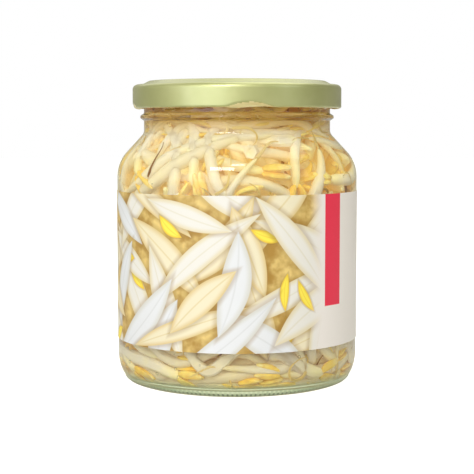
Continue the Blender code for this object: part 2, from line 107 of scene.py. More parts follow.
SHEET = 0.5
LID_R = 34.5
LID_BOTTOM_Z = 89.9
LEDGE_Z = 97.65
LEDGE_RISE = 0.1
LEDGE_INNER_R = 31.4
LEDGE_FILLET = 1.6
PANEL_R = 29.2
PANEL_Z = 98.9
PANEL_SUNK = 0.7
PANEL_FILLET = 0.6
STEP_SHIFT = 0.2
RING_OUTER_R = 24.5
RING_INNER_R = 22.5
BUTTON_R = 9.5
BUTTON_SLOPE = 1.5
BUTTON_RISE = 0.35
BUTTON_CROWN = 0.1
CURL_HEIGHT = 1.3
CURL_DEPTH = 1.3
CURL_FILLET = 0.6
LID_SEGMENTS = 288
RING_FILLET = 1.0
INNER_FILLET = 0.4
BUTTON_FILLET = 0.8
LEDGE_CREASE = 0.3
CURL_LIP = 0.3
CURL_LIP_FILLET = 0.2
LUG_ROWS_BELOW_Z = 95
LUG_SPAN = 0.25
LID_SPAN = 2.0
LUG_CENTRE_DEG = -83.0
LUG_APART_DEG = 360 / STARTS
LUG_HALF_DEG = 13.5
LUG_IN = 1.85
LUG_SQUEEZE = 0.34
LUG_ARC = 1.9
LUG_FADE = 0.6
SKIRT_FROM_R = 30.0
INSIDE_DEPTH = 0.3
INSIDE_BELOW = 1.5
INSIDE_FACING = -0.2

LABEL_INNER_R = BODY_R + 0.06
LABEL_THICKNESS = 0.12
LABEL_LOW_Z = 14.5
LABEL_HIGH_Z = 63.0
LABEL_BACK_GAP = 11.0
LABEL_SEGMENTS = 200
LABEL_ROWS = 13
LABEL_LIFT = 0.10
LABEL_RIPPLES = (7, 3)
LABEL_EDGE_POWER = 6
BAR_LEFT = 30.4
BAR_WIDTH = 7.6
BAR_LOW_Z = 27.7
BAR_SOFT = (0.1, 0.15)
BACK_RULES_FROM = 62.0
BACK_RULES_AT = 20.0
RULE_EDGE = (0.4, 0.3)
LEFT_FADE = (-56.0, -62.0)
RIGHT_FADE = (BAR_LEFT - 7.0, BAR_LEFT - 0.5)
MOTTLE = 6.25
FIBRE = 0.4
PRINT_SEED = 5
PRINT_ROWS = 4
PRINT_COLUMNS = 9
PRINT_FROM = (-60, LABEL_LOW_Z + 4)
PRINT_STEP = (11.2, 13.5)
PRINT_SHIFT = 4
PRINT_LEAN_DEG = (18, 80)
PRINT_LENGTH = (15, 25)
PRINT_WIDTH = (3.4, 5.2)
PRINT_BEND = 0.7
PRINT_SHADOW = 0.4
INK_SEED = 9
SMALL_EVERY = 4
SMALL_SHIFT = 6
SMALL_LENGTH = (4, 6.5)
SMALL_WIDTH = (1.4, 2.2)
SMALL_BEND = 0.5

BRINE_TOP_Z = 95.0
BRINE_GAP = 0.04
BRINE_SEGMENTS = 128
BRINE_SKIN = 0.3

SEED = 11
LAYERS = 4
SPROUTS_A_LAYER = 66
SPROUT_POINTS = 14
SPROUT_LENGTH = (40.0, 64.0)
STEM_R = (1.5, 2.1)
HEAD_R = 2.5
LAYER_DEPTH = 2.6
LAYER_STEP = 3.3
END_ROOM = (4.0, 3.0)
HEADING_SPREAD = math.radians(38)
BEND_SPREAD = 0.028
HOOK = (0.05, 0.2)
HOOK_POINTS = 3
STEM_TAPER = ((0, 0.8), (0.1, 0.85), (0.3, 1), (0.75, 0.95), (0.9, 0.6), (1, 0.3))
OUTWARD = 0.004
DEEPEST = 15.0
WALL_ROOM = 0.5
SPROUT_TOP_Z = 90.5
SWEEPS = 90
PAIRS_EVERY = 6
PAIR_ROOM = 1.5
GROWN_FROM = 0.45
GROWING = 0.8
TOUCHING = 0.97
BEND_LIMITS = (1.6, 2.0)
BUNCH_INSET = 1.7

FINE_INSET = 0.35
FLOOR_REACH_Z = 22.0
STEM_POINTS = 46
STEM_SIDES = 12
LEAF_POINTS = 16
LEAF_SIDES = 10
LEAF_LENGTH = (7.0, 10.5)
LEAF_WIDTH = (2.2, 3.1)
LEAF_OPENING = (0.05, 0.55)
LEAF_START = 1.2
LEAF_APART = 0.55
LEAF_THINNESS = 0.42
LEAF_FULLNESS = 0.85
LEAF_TIP = 0.02
LEAF_CURVE = (1.2, 0.5)
ROOT_POINTS = 22
ROOT_SIDES = 6
ROOT_LENGTH = (8.0, 20.0)
ROOT_R = (0.55, 0.12)
ROOT_SHARE = (0.8, 1.3)
ROOT_TURN = 0.12
ROOT_WANDER = 0.05
SECTORS = 4
BUBBLE_SEED = 3
BUBBLES = 60
BUBBLE_R = (0.22, 0.6)
BUBBLE_SIDES = 14
BUBBLE_ROWS = 9
BUBBLE_GAP = 0.1
BUBBLE_LOW_Z = FLOOR_Z + 2.5
BUBBLE_SPAN = 84
BUBBLE_SPREAD = (0.7, 1.6)
FINE_SWELL = 1.14
END_SLOPE = 0.6
STEM_ENDS = (0.4, 0.8, 0.95)
STEM_TIP = 0.5
HEAD_END = 0.8
STEM_FLATNESS = (0.86, 1.0)
LUMPS = 12
LUMP = 0.07
FOOT_SPROUTS = 36
FOOT_HEIGHTS = (3.8, 13.5)
NECK_SPROUTS = 26
NECK_HEIGHTS = (81.0, 93.5)
MORE_DEPTHS = (1.5, 6.5)
MORE_HEADING = 0.25
MORE_WANDER = 0.22
MORE_SCATTER = 0.4
INNER_SPROUTS = 150
INNER_R = 24.0
INNER_HEIGHTS = (FLOOR_Z + 6, SPROUT_TOP_Z - 3)
INNER_SIDES = 6
INNER_POINTS = 8
INNER_STEM_R = 2.3
INNER_END = 0.3
INNER_HALF_LENGTH = (14, 24)
INNER_RISE = 0.5
DEEP_AT = 12.0

GLASS_IOR = 1.52
BRINE_IOR = 1.335
AIR_IN_BRINE_IOR = 0.75
FLESH_IOR = 1.36
AMBER_DENSITY = 50.0
GRAIN = 0.6
THICK_BASE = (6.0 * MM, 2.5 * MM)
FOOT_SHADE = (22.0 * MM, 13.0 * MM)
NECK_SHADE = (79.0 * MM, 88.0 * MM)
GLOW_DEPTH = (0.1, 1.0)

FLOOR_HALF_SIDE = 3.0
ROOM_BRIGHT_SIDE = (-0.52, -0.85, 0.1)
ROOM_LIGHT = 0.52
ROOM_SLOPE = 0.2
ROOM_GAIN = 0.7
ROOM_FOCUS = 3.0
CAMERA_PLACE = (0, -0.439, 0.084)
CAMERA_DIP_DEG = 4.8
CAMERA_LENS = 100
CAMERA_SENSOR = 36

# Each lamp's name, place, the height it looks at, its size, power and hue.
LAMPS = (
    ("key", (-0.16, -0.6, 0.46), 0.05, (0.26, 0.12), 1.4, "#FFFFFF"),
    ("second key", (0.01, -0.55, 0.6), 0.05, (0.15, 0.07), 0.3, "#FFFFFF"),
    ("front softbox", (-0.5, -0.7, 0.16), 0.07, (0.8, 0.4), 1.2, "#EAF2FF"),
    ("fill", (0.7, -0.45, 0.4), 0.06, (0.4, 0.5), 0.6, "#EAF2FF"),
    ("top", (0.2, 0.1, 0.85), 0.05, (0.7, 0.7), 2.0, "#FFFFFF"),
    ("back", (-0.1, 0.6, 0.75), 0.05, (1.3, 0.8), 2.0, "#FFFFFF"),
)


def rounded(corners, step=FINE_ARC):
    """Points (r, z) along the lines between corners (r, z, fillet radius), with an arc at each fillet."""
    points = [corners[0][:2]]
    for before, corner, after in zip(corners, corners[1:], corners[2:]):
        here = np.array(corner[:2])
        back = np.array(before[:2]) - here
        ahead = np.array(after[:2]) - here
        back /= np.linalg.norm(back)
        ahead /= np.linalg.norm(ahead)
        half = math.acos(float(np.clip(back @ ahead, -1, 1))) / 2
        if corner[2] == 0:
            points.append(tuple(here))
            continue
        middle = (back + ahead) / np.linalg.norm(back + ahead)
        centre = here + middle * corner[2] / math.sin(half)
        arms = [back, ahead]
        ends = [here + arm * corner[2] / math.tan(half) - centre for arm in arms]
        first = math.atan2(ends[0][1], ends[0][0])
        sweep = math.atan2(ends[1][1], ends[1][0]) - first
        sweep = (sweep + math.pi) % (2 * math.pi) - math.pi
        steps = max(1, math.ceil(abs(sweep) / step))
        for i in range(steps + 1):
            angle = first + sweep * i / steps
            points.append(tuple(centre + corner[2] * np.array([math.cos(angle), math.sin(angle)])))
    points.append(corners[-1][:2])
    return points


def spaced(points, longest):
    """The points with more between them, so that no step where longest(z) says so is longer than it."""
    filled = [tuple(points[0])]
    for a, b in zip(points, points[1:]):
        a, b = np.array(a, float), np.array(b, float)
        steps = max(1, math.ceil(np.linalg.norm(b - a) / longest((a[1] + b[1]) / 2)))
        filled += [tuple(a + (b - a) * i / steps) for i in range(1, steps + 1)]
    return filled


def smooth_step(value):
    value = np.clip(value, 0, 1)
    return value * value * (3 - 2 * value)


def around(reach, angle, height):
    """Points at a distance from the axis, an angle about it and a height."""
    return np.stack([reach * np.cos(angle), reach * np.sin(angle), height], axis=-1)


def turned(profile, segments, shape=None, ring=False):
    """Vertices and faces of a profile (r, z) turned about the axis, with its outer side running up.

    shape(r, z, angle) may move the points, row by row. A ring's profile is a closed loop clear of the axis,
    and any other starts and ends on the axis.
    """
    angle = 2 * math.pi * np.arange(segments) / segments
    rows = np.array(profile if ring else profile[1:-1], float)
    r, z = (np.repeat(rows[:, [k]], segments, axis=1) for k in (0, 1))
    if shape:
        r, z = shape(r, z, angle)
    vertices = around(r, angle, z).reshape(-1, 3)
    near = np.arange(segments)
    far = (near + 1) % segments
    starts = segments * np.arange(len(rows))
    lows, highs = (starts, np.roll(starts, -1)) if ring else (starts[:-1], starts[1:])
    faces = [np.stack([a + near, a + far, b + far, b + near], axis=1) for a, b in zip(lows, highs)]
    faces = np.concatenate(faces).tolist()
    vertices = vertices.tolist()
    if not ring:
        for row, (_, z_at_axis) in ((starts[0], profile[0]), (starts[-1], profile[-1])):
            pole = len(vertices)
            vertices.append((0, 0, z_at_axis))
            a, b = (far, near) if row == 0 else (near, far)
            faces += [[pole, int(row + i), int(row + j)] for i, j in zip(a, b)]
    return vertices, faces


def placed(name, data):
    """An object at the origin, in the scene."""
    thing = bpy.data.objects.new(name, data)
    bpy.context.scene.collection.objects.link(thing)
    return thing


def make_piece(name, vertices, faces, finishes, nodes=(), body="jar", sharp_deg=35):
    """A piece at the origin, with its vertices in mm, that rides on a body and stands for CAD nodes."""
    mesh = bpy.data.meshes.new(name)
    mesh.from_pydata((np.array(vertices, float) * MM).tolist(), [], faces)
    for finish in finishes:
        mesh.materials.append(finish)
    mesh.shade_smooth()
    mesh.set_sharp_from_angle(angle=math.radians(sharp_deg))
    piece = placed(name, mesh)
    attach(piece, body)
    if nodes:
        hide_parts(*nodes)
    return piece


# Shader building: one function for colours, one that adds a node, and two for what every finish repeats.


def colour(code, alpha=1.0):
    """A linear colour from an sRGB hex value."""
    parts = [int(code[i : i + 2], 16) / 255 for i in (1, 3, 5)]
    linear = [p / 12.92 if p <= 0.04045 else ((p + 0.055) / 1.055) ** 2.4 for p in parts]
    return (*linear, alpha)


def add(tree, kind, inputs, out=0, **settings):
    """Adds a node with its settings, and returns one of its outputs, or all of them where out is None.

    Each of inputs gives a socket a value, or links another socket to it.
    """
    made = tree.nodes.new("ShaderNode" + kind)
    for name, value in settings.items():
        setattr(made, name, value)
    for name, value in inputs.items():
        socket = made.inputs[name]
        if isinstance(value, bpy.types.NodeSocket):
            tree.links.new(value, socket)
        else:
            socket.default_value = value
    return made.outputs if out is None else made.outputs[out]


def new_material(name, build, soaked=None):
    """A material with the surface that build(tree) returns, and the inside that soaked(tree) returns."""
    made = bpy.data.materials.new(name)
    made.use_nodes = True
    tree = made.node_tree
    tree.nodes.clear()
    ends = {"Surface": build(tree)}
    if soaked:
        ends["Volume"] = soaked(tree)
    add(tree, "OutputMaterial", ends, None)
    return made


def faded(tree, *steps):
    """1 where each value has gone from its first number to its second, and 0 where one of them hasn't."""
    cover = None
    for value, low, high in steps:
        inputs = {"Value": value, "From Min": low, "From Max": high}
        step = add(tree, "MapRange", inputs, interpolation_type="SMOOTHSTEP")
        cover = step if cover is None else add(tree, "Math", {0: cover, 1: step}, operation="MULTIPLY")
    return cover


def layered(tree, base, *layers):
    """A colour under others, each of which covers it by a factor, or as a value goes between two numbers."""
    for *where, over in layers:
        cover = where[0] if len(where) == 1 else faded(tree, where)
        base = add(tree, "Mix", {0: cover, 6: base, 7: over}, 2, data_type="RGBA")
    return base


def let_light_in(tree, shader, tint):
    """Lamps and the light between sprouts pass the surface straight, with only its tint."""
    path = add(tree, "LightPath", {}, None)
    straight = add(tree, "Math", {0: path["Is Shadow Ray"], 1: path["Is Diffuse Ray"]}, operation="MAXIMUM")
    clear = add(tree, "BsdfTransparent", {"Color": tint})
    return add(tree, "MixShader", {0: straight, 1: shader, 2: clear})


def stipple_dots(tree, place, height):
    """1 on the marks of the knurl round the foot, which are painted dark as painted shade. It's drawn
    coarser than real, to show.
    """
    x, y, _ = add(tree, "SeparateXYZ", {0: place}, None)
    angle = add(tree, "Math", {0: y, 1: x}, operation="ARCTAN2")
    turn = add(tree, "Math", {0: angle, 1: STIPPLE_DOTS}, operation="MULTIPLY")
    beat = add(tree, "Math", {0: turn}, operation="COSINE")
    low, high = STIPPLE_ROWS
    return faded(
        tree,
        (beat, 0.0, 0.7),
        (height, low * MM, (low + STIPPLE_SOFT) * MM),
        (height, high * MM, (high - STIPPLE_SOFT) * MM),
    )


def glass(tree, ior):
    """Soda-lime glass, blown in a mould: clear in the wall, and green where the base is thick, with a
    painted glow there; its knurl marks are painted dark.
    """
    place = add(tree, "TexCoord", {}, "Object")
    height = add(tree, "SeparateXYZ", {0: place}, "Z")
    clear = colour("#FAFCF8")
    black = colour("#000000")
    thick = faded(tree, (height, *THICK_BASE))
    dots = stipple_dots(tree, place, height)
    inputs = {
        # The knurl marks are painted dark: painted shade.
        "Base Color": layered(tree, clear, (thick, colour("#B6BDA0")), (dots, colour("#3A4232"))),
        "Roughness": 0.0,
        "Transmission Weight": 1.0,
        "IOR": ior,
        # Painted glow: the thick base gives off light of its own.
        "Emission Color": layered(tree, black, (thick, colour("#5A614D")), (dots, black)),
        "Emission Strength": 0.7,
    }
    return let_light_in(tree, add(tree, "BsdfPrincipled", inputs), clear)


def brine(tree):
    """Thin salt brine. The wet glass already bends the light, so the brine's own skin changes nothing."""
    amber = colour("#FEFBF2")
    inputs = {"Base Color": amber, "Roughness": 0.0, "Transmission Weight": 1.0, "IOR": 1.0}
    return let_light_in(tree, add(tree, "BsdfPrincipled", inputs), amber)


def amber_depth(tree):
    """What has come out of the sprouts makes the brine amber, the more so the deeper the eye looks."""
    return add(tree, "VolumeAbsorption", {"Color": colour("#F8E320"), "Density": AMBER_DENSITY})


def sprout_values(tree):
    """How far along the sprout each point is, how deep in the jar, the sprout's own tint, and the height."""
    names = ("along", "depth", "tint")
    stored = [add(tree, "Attribute", {}, "Fac", attribute_name=name) for name in names]
    place = add(tree, "TexCoord", {}, "Object")
    return *stored, add(tree, "SeparateXYZ", {0: place}, "Z")


def painted_glow(tree, depth, height):
    """Painted glow: emission standing in for the light that the pale flesh and the brine carry into the
    bunch, which comes back out warm.

    There is less of it along the foot, as painted shade, and it's brown in the neck, as painted shade where
    the lid keeps the light out.
    """
    at_side = layered(tree, colour("#655E54"), (depth, *GLOW_DEPTH, colour("#8E8257")))
    at_foot = layered(tree, colour("#463C34"), (depth, *GLOW_DEPTH, colour("#4C391A")))
    return layered(tree, at_side, (height, *FOOT_SHADE, at_foot), (height, *NECK_SHADE, colour("#665022")))


def streaks(tree, size_mm):
    """Noise whose patches are about as large as the size given."""
    place = add(tree, "TexCoord", {}, "Object")
    inputs = {"Vector": place, "Scale": 1 / (size_mm * MM), "Detail": 3.0, "Roughness": 0.55}
    return add(tree, "TexNoise", inputs, "Fac")


def stem_flesh(tree):
    """Blanched bean stem, wet and half see-through: ivory. Painted shade makes it amber in the deep and
    browner in the neck, and it has a painted glow.
    """
    along, depth, tint, height = sprout_values(tree)
    base = layered(
        tree,
        colour("#E5DCD6"),
        (tint, colour("#E4D7C6")),
        (along, 0.22, 0.0, colour("#F5E8B8")),
        (along, 0.78, 1.0, colour("#E9D5A8")),
        (streaks(tree, 5.0), 0.45, 0.75, colour("#EEE2C8")),
        # Painted shade: amber deeper in the bunch, browner in the neck under the lid.
        (depth, 0.2, 1.0, colour("#D9BC88")),
        (height, *NECK_SHADE, colour("#C09A54")),
    )
    ripples = {"Height": streaks(tree, 1.2), "Strength": 0.25, "Distance": 0.2 * MM}
    inputs = {
        "Base Color": base,
        "Roughness": 0.35,
        "IOR": FLESH_IOR,
        "Subsurface Weight": 0.6,
        "Subsurface Radius": (1.0, 0.95, 0.75),
        "Subsurface Scale": 2.5 * MM,
        "Specular IOR Level": 0.25,
        "Emission Color": painted_glow(tree, depth, height),
        "Emission Strength": 1.0,
        "Normal": add(tree, "Bump", ripples),
    }
    return add(tree, "BsdfPrincipled", inputs)


def leaf_flesh(tree):
    """Seed leaf of a mung bean: yellow, paler towards its tip; painted shade browns it in the deep and in
    the neck, and it has a painted glow.
    """
    along, depth, tint, height = sprout_values(tree)
    base = layered(
        tree,
        colour("#F9E48C"),
        (tint, colour("#F7CF52")),
        (along, 0.5, 1.0, colour("#F4E3A4")),
        (streaks(tree, 2.5), 0.4, 0.75, colour("#E8BE60")),
        # Painted shade: browner deeper in the bunch and in the neck under the lid.
        (depth, 0.2, 1.0, colour("#BE9148")),
        (height, *NECK_SHADE, colour("#B48E40")),
    )
    inputs = {
        "Base Color": base,
        "Roughness": 0.4,
        "IOR": FLESH_IOR,
        "Subsurface Weight": 0.25,
        "Subsurface Radius": (1.0, 0.85, 0.4),
        "Subsurface Scale": 1.0 * MM,
        "Specular IOR Level": 0.25,
        "Emission Color": painted_glow(tree, depth, height),
        "Emission Strength": 0.8,
    }
    return add(tree, "BsdfPrincipled", inputs)


def root_flesh(tree):
    """Thin root: straw-coloured, brown where a few have dried before they went in the jar, and darker in the
    deep by painted shade.
    """
    _, depth, tint, _ = sprout_values(tree)
    dried = (tint, 0.7, 0.95, colour("#8A5A28"))
    # The depth layer is painted shade; the dried brown is the root's own colour.
    base = layered(tree, colour("#E2C485"), dried, (depth, 0.15, 0.9, colour("#A8763A")))
    return add(tree, "BsdfPrincipled", {"Base Color": base, "Roughness": 0.5, "Specular IOR Level": 0.25})


def lacquer(tree):
    """Tinplate under a gold-green stoving lacquer: metallic, satin, with the steel's fine rolled grain."""
    place = add(tree, "TexCoord", {}, "Object")
    rolled = add(tree, "Mapping", {"Vector": place, "Scale": (0.12, 1.0, 1.0)})
    grain = add(tree, "TexNoise", {"Vector": rolled, "Scale": 1 / (GRAIN * MM), "Detail": 4.0}, "Fac")
    relief = {"Height": grain, "Strength": 0.06, "Distance": 0.05 * MM}
    cloudy = (streaks(tree, 14.0), 0.3, 0.7, colour("#BCBE80"))
    inputs = {
        "Base Color": layered(tree, colour("#B2B573"), cloudy),
        "Metallic": 0.85,
        "Roughness": add(tree, "MapRange", {"Value": grain, "To Min": 0.38, "To Max": 0.46}),
        "Coat Weight": 1.0,
        "Coat Roughness": 0.26,
        "Coat IOR": 1.75,
        "Normal": add(tree, "Bump", relief),
    }
    return add(tree, "BsdfPrincipled", inputs)


def inside_lacquer_and_lug_reflection(tree):
    """The sheet's other side, inside the lid and its curl: pale gold, with less of a sheen. The faces that
    the lugs press in get it too, where its pale cream is a painted reflection of the bright floor.
    """
    base = layered(tree, colour("#EFE7B6"), (streaks(tree, 9.0), colour("#E8DCA6")))
    return add(tree, "BsdfPrincipled", {"Base Color": base, "Metallic": 0.2, "Roughness": 0.42})


def compound(tree):
    """Flowed-in vinyl sealing compound: matt, cream, with a faint orange-peel."""
    base = layered(tree, colour("#E0D8C4"), (streaks(tree, 4.0), colour("#D2C8B0")))
    peel = add(tree, "Bump", {"Height": streaks(tree, 1.0), "Strength": 0.2, "Distance": 0.1 * MM})
    return add(tree, "BsdfPrincipled", {"Base Color": base, "Roughness": 0.55, "Normal": peel})


def printed_leaf(tree, flat, below, leaf, inks):
    """One leaf printed over what is below it: a bent lens shape that throws a soft shadow round it."""
    u, v, angle, half_length, half_width, bend = leaf
    inputs = {
        "Vector": flat,
        "Location": (u, v, 0),
        "Rotation": (0, 0, angle),
        "Scale": (half_length, half_width, 1),
    }
    own = add(tree, "Mapping", inputs, vector_type="TEXTURE")
    x, y, _ = add(tree, "SeparateXYZ", {0: own}, None)
    squared = add(tree, "Math", {0: x, 1: x}, operation="MULTIPLY")
    bent = add(tree, "Math", {0: squared, 1: bend, 2: y}, operation="MULTIPLY_ADD")
    from_rib = add(tree, "Math", {0: bent}, operation="ABSOLUTE")
    breadth = add(tree, "Math", {0: 1.0, 1: squared}, operation="SUBTRACT")
    inside = add(tree, "Math", {0: breadth, 1: from_rib}, operation="SUBTRACT")
    rim, body, rib = inks
    printed = layered(tree, rim, (inside, 0.0, 0.5, body), (from_rib, 0.1, 0.0, rib))
    near = faded(tree, (inside, -0.45, 0.0))
    shadow = add(tree, "Math", {0: near, 1: PRINT_SHADOW}, operation="MULTIPLY")
    return layered(tree, below, (shadow, colour("#9A742E")), (inside, 0.0, 0.05, printed))


def leaf_places():
    """A made-up spray of leaves over the front of the label, drawn by rule: (u, v, angle, sizes, bend)."""
    rng = np.random.default_rng(PRINT_SEED)
    leaves = []
    for row in range(PRINT_ROWS):
        for column in range(PRINT_COLUMNS):
            u = PRINT_FROM[0] + PRINT_STEP[0] * column + rng.uniform(-PRINT_SHIFT, PRINT_SHIFT)
            v = PRINT_FROM[1] + PRINT_STEP[1] * row + rng.uniform(-PRINT_SHIFT, PRINT_SHIFT)
            lean = math.radians(rng.choice([-1, 1]) * rng.uniform(*PRINT_LEAN_DEG))
            sizes = rng.uniform(*PRINT_LENGTH), rng.uniform(*PRINT_WIDTH)
            leaves.append((u, v, lean, *sizes, rng.uniform(-PRINT_BEND, PRINT_BEND)))
    order = rng.permutation(len(leaves))
    return [leaves[i] for i in order]


def print_leaves(tree, flat, ink):
    """The spray of leaves over the gold, and a small yellow one over every fourth of them."""
    pale = [
        (colour("#DFD2B0"), colour("#E7E3DC"), colour("#DFD9C9")),
        (colour("#D4D2CC"), colour("#E2E3E7"), colour("#D8D9DC")),
        (colour("#DCC48C"), colour("#EBE0C2"), colour("#E0CFA0")),
    ]
    yellow = (colour("#E6BC34"), colour("#FBE54E"), colour("#EFC93A"))
    rng = np.random.default_rng(INK_SEED)
    for i, leaf in enumerate(leaf_places()):
        ink = printed_leaf(tree, flat, ink, leaf, pale[int(rng.integers(0, len(pale)))])
        if i % SMALL_EVERY == SMALL_EVERY - 1:
            place = [at + rng.uniform(-SMALL_SHIFT, SMALL_SHIFT) for at in leaf[:2]]
            angle = rng.uniform(0, math.pi)
            sizes = rng.uniform(*SMALL_LENGTH), rng.uniform(*SMALL_WIDTH)
            ink = printed_leaf(tree, flat, ink, (*place, angle, *sizes, SMALL_BEND), yellow)
    return ink


def label_paper(tree):
    """Coated label paper, offset-printed: pale leaves over gold, a raspberry bar and a plain white field."""
    place = add(tree, "TexCoord", {}, "Object")
    x, y, z = add(tree, "SeparateXYZ", {0: place}, None)
    front = add(tree, "Math", {0: y, 1: -1.0}, operation="MULTIPLY")
    turn = add(tree, "Math", {0: x, 1: front}, operation="ARCTAN2")
    u = add(tree, "Math", {0: turn, 1: LABEL_INNER_R}, operation="MULTIPLY")
    v = add(tree, "Math", {0: z, 1: 1 / MM}, operation="MULTIPLY")
    flat = add(tree, "CombineXYZ", {0: u, 1: v})
    mottle = add(tree, "TexNoise", {"Vector": flat, "Scale": 1 / MOTTLE, "Detail": 3.0}, "Fac")
    gold = layered(tree, colour("#AD8434"), (mottle, 0.35, 0.65, colour("#E6C97C")))
    leaves = print_leaves(tree, flat, gold)

    off_bar = add(tree, "Math", {0: u, 1: BAR_LEFT + BAR_WIDTH / 2}, operation="SUBTRACT")
    off_bar = add(tree, "Math", {0: off_bar}, operation="ABSOLUTE")
    across = (off_bar, BAR_WIDTH / 2 + BAR_SOFT[0], BAR_WIDTH / 2)
    in_bar = faded(tree, across, (v, BAR_LOW_Z, BAR_LOW_Z + BAR_SOFT[1]))

    from_front = add(tree, "Math", {0: u}, operation="ABSOLUTE")
    on_back = add(tree, "Math", {0: from_front, 1: BACK_RULES_FROM}, operation="GREATER_THAN")
    off_rule = add(tree, "Math", {0: v, 1: (LABEL_LOW_Z + LABEL_HIGH_Z) / 2}, operation="SUBTRACT")
    off_rule = add(tree, "Math", {0: off_rule}, operation="ABSOLUTE")
    off_rule = add(tree, "Math", {0: off_rule, 1: BACK_RULES_AT}, operation="SUBTRACT")
    off_rule = add(tree, "Math", {0: off_rule}, operation="ABSOLUTE")
    in_rule = add(tree, "Math", {0: faded(tree, (off_rule, *RULE_EDGE)), 1: on_back}, operation="MULTIPLY")

    white = colour("#EFE8E4")
    raspberry = colour("#EA2448")
    ink = layered(
        tree,
        leaves,
        (u, *RIGHT_FADE, white),
        (u, *LEFT_FADE, white),
        (in_bar, raspberry),
        (in_rule, raspberry),
    )
    fibre = add(tree, "TexNoise", {"Vector": flat, "Scale": 1 / FIBRE, "Detail": 4.0}, "Fac")
    inputs = {
        "Base Color": ink,
        "Roughness": 0.5,
        "Coat Weight": 0.1,
        "Coat Roughness": 0.3,
        "Normal": add(tree, "Bump", {"Height": fibre, "Strength": 0.08, "Distance": 0.05 * MM}),
    }
    return add(tree, "BsdfPrincipled", inputs)


def trapped_air(tree):
    """An air bubble in brine: its skin bends light the other way, so it shows as a bright ring."""
    white = colour("#FFFFFF")
    inputs = {"Base Color": white, "Roughness": 0.0, "Transmission Weight": 1.0, "IOR": AIR_IN_BRINE_IOR}
    return let_light_in(tree, add(tree, "BsdfPrincipled", inputs), white)


# The jar


def outer_path():
    """The jar's outside, from the middle of its underside up to the rim."""
    under = [(0, PUSH_UP), (PUSH_UP_EDGE_R, PUSH_UP_EDGE_Z), (FOOT_INNER_R, 0), (FOOT_OUTER_R, 0)]
    heel = []
    for i in range(1, ARC_STEPS + 1):
        angle = math.radians(90 * i / ARC_STEPS)
        out = (BODY_R - FOOT_OUTER_R) * math.sin(angle)
        heel.append((FOOT_OUTER_R + out, HEEL_HEIGHT * (1 - math.cos(angle))))
    shoulder = []
    for i in range(ARC_STEPS + 1):
        angle = SHOULDER_SLOPE * i / ARC_STEPS
        r = BODY_R - SHOULDER_R * (1 - math.cos(angle))
        shoulder.append((r, SHOULDER_START_Z + SHOULDER_R * math.sin(angle)))
    neck_z = shoulder[-1][1] + (shoulder[-1][0] - NECK_R) / math.tan(SHOULDER_SLOPE)
    low, high = BEAD_Z - BEAD_HEIGHT / 2, BEAD_Z + BEAD_HEIGHT / 2
    neck = rounded(
        [
            shoulder[-1] + (0,),
            (NECK_R, neck_z, NECK_FILLET),
            (NECK_R, low, BEAD_FILLET),
            (BEAD_R, BEAD_Z - BEAD_LAND / 2, BEAD_FILLET),
            (BEAD_R, BEAD_Z + BEAD_LAND / 2, BEAD_FILLET),
            (NECK_R, high, BEAD_FILLET),
            (NECK_R, RIM_Z, RIM_FILLET),
            (BORE_R, RIM_Z, RIM_FILLET),
            (BORE_R, RIM_Z - 2 * RIM_FILLET, 0),
        ]
    )
    return under + heel + shoulder + neck[1:-1]


def cavity_path(inset, top_z, floor_z=FLOOR_Z, heel_fillet=HEEL_INNER_FILLET):
    """The jar's inside drawn in by inset, from top_z down its wall to the middle of its floor."""
    centre_r = BODY_R - SHOULDER_R
    arc_r = SHOULDER_R - WALL - inset
    bore = BORE_R - inset
    arc = []
    for i in range(ARC_STEPS + 1):
        angle = SHOULDER_SLOPE * (ARC_STEPS - i) / ARC_STEPS
        arc.append((centre_r + arc_r * math.cos(angle), SHOULDER_START_Z + arc_r * math.sin(angle)))
    neck_z = arc[0][1] + (arc[0][0] - bore) / math.tan(SHOULDER_SLOPE)
    body = BODY_R - WALL - inset
    fillet = max(heel_fillet - inset, LEAST_FILLET)
    floor = floor_z + inset
    neck = rounded([(bore, top_z, 0), (bore, neck_z, NECK_INNER_FILLET + inset), arc[0] + (0,)])
    halfway = (body / 2, floor + FLOOR_RISE * DOME_AT_HALF, 0)
    heel = rounded([arc[-1] + (0,), (body, floor, fillet), halfway])
    return neck[:-1] + arc + heel[1:] + [(0, floor + FLOOR_RISE)]


def seen_cavity(inset, top_z):
    """The inside as the photo shows it, with a lower floor and a tighter heel than in the solid jar."""
    return cavity_path(inset, top_z, SEEN_FLOOR_Z, SEEN_HEEL_FILLET)


def thread_height(z, degrees):
    """How far the glass threads stand out at each height and angle."""
    height = np.zeros_like(z)
    for i in range(STARTS):
        turn = (degrees - THREAD_START_DEG - i * 360 / STARTS) % 360
        low = THREAD_Z + RISE_PER_DEGREE * turn
        up = smooth_step((z - low) / THREAD_FLANK)
        down = smooth_step((low + THREAD_HEIGHT - z) / THREAD_FLANK)
        ends = smooth_step(np.minimum(turn, THREAD_SPAN_DEG - turn) / THREAD_TAPER_DEG)
        height = np.maximum(height, up * down * ends)
    return height * (THREAD_CREST_R - NECK_R)


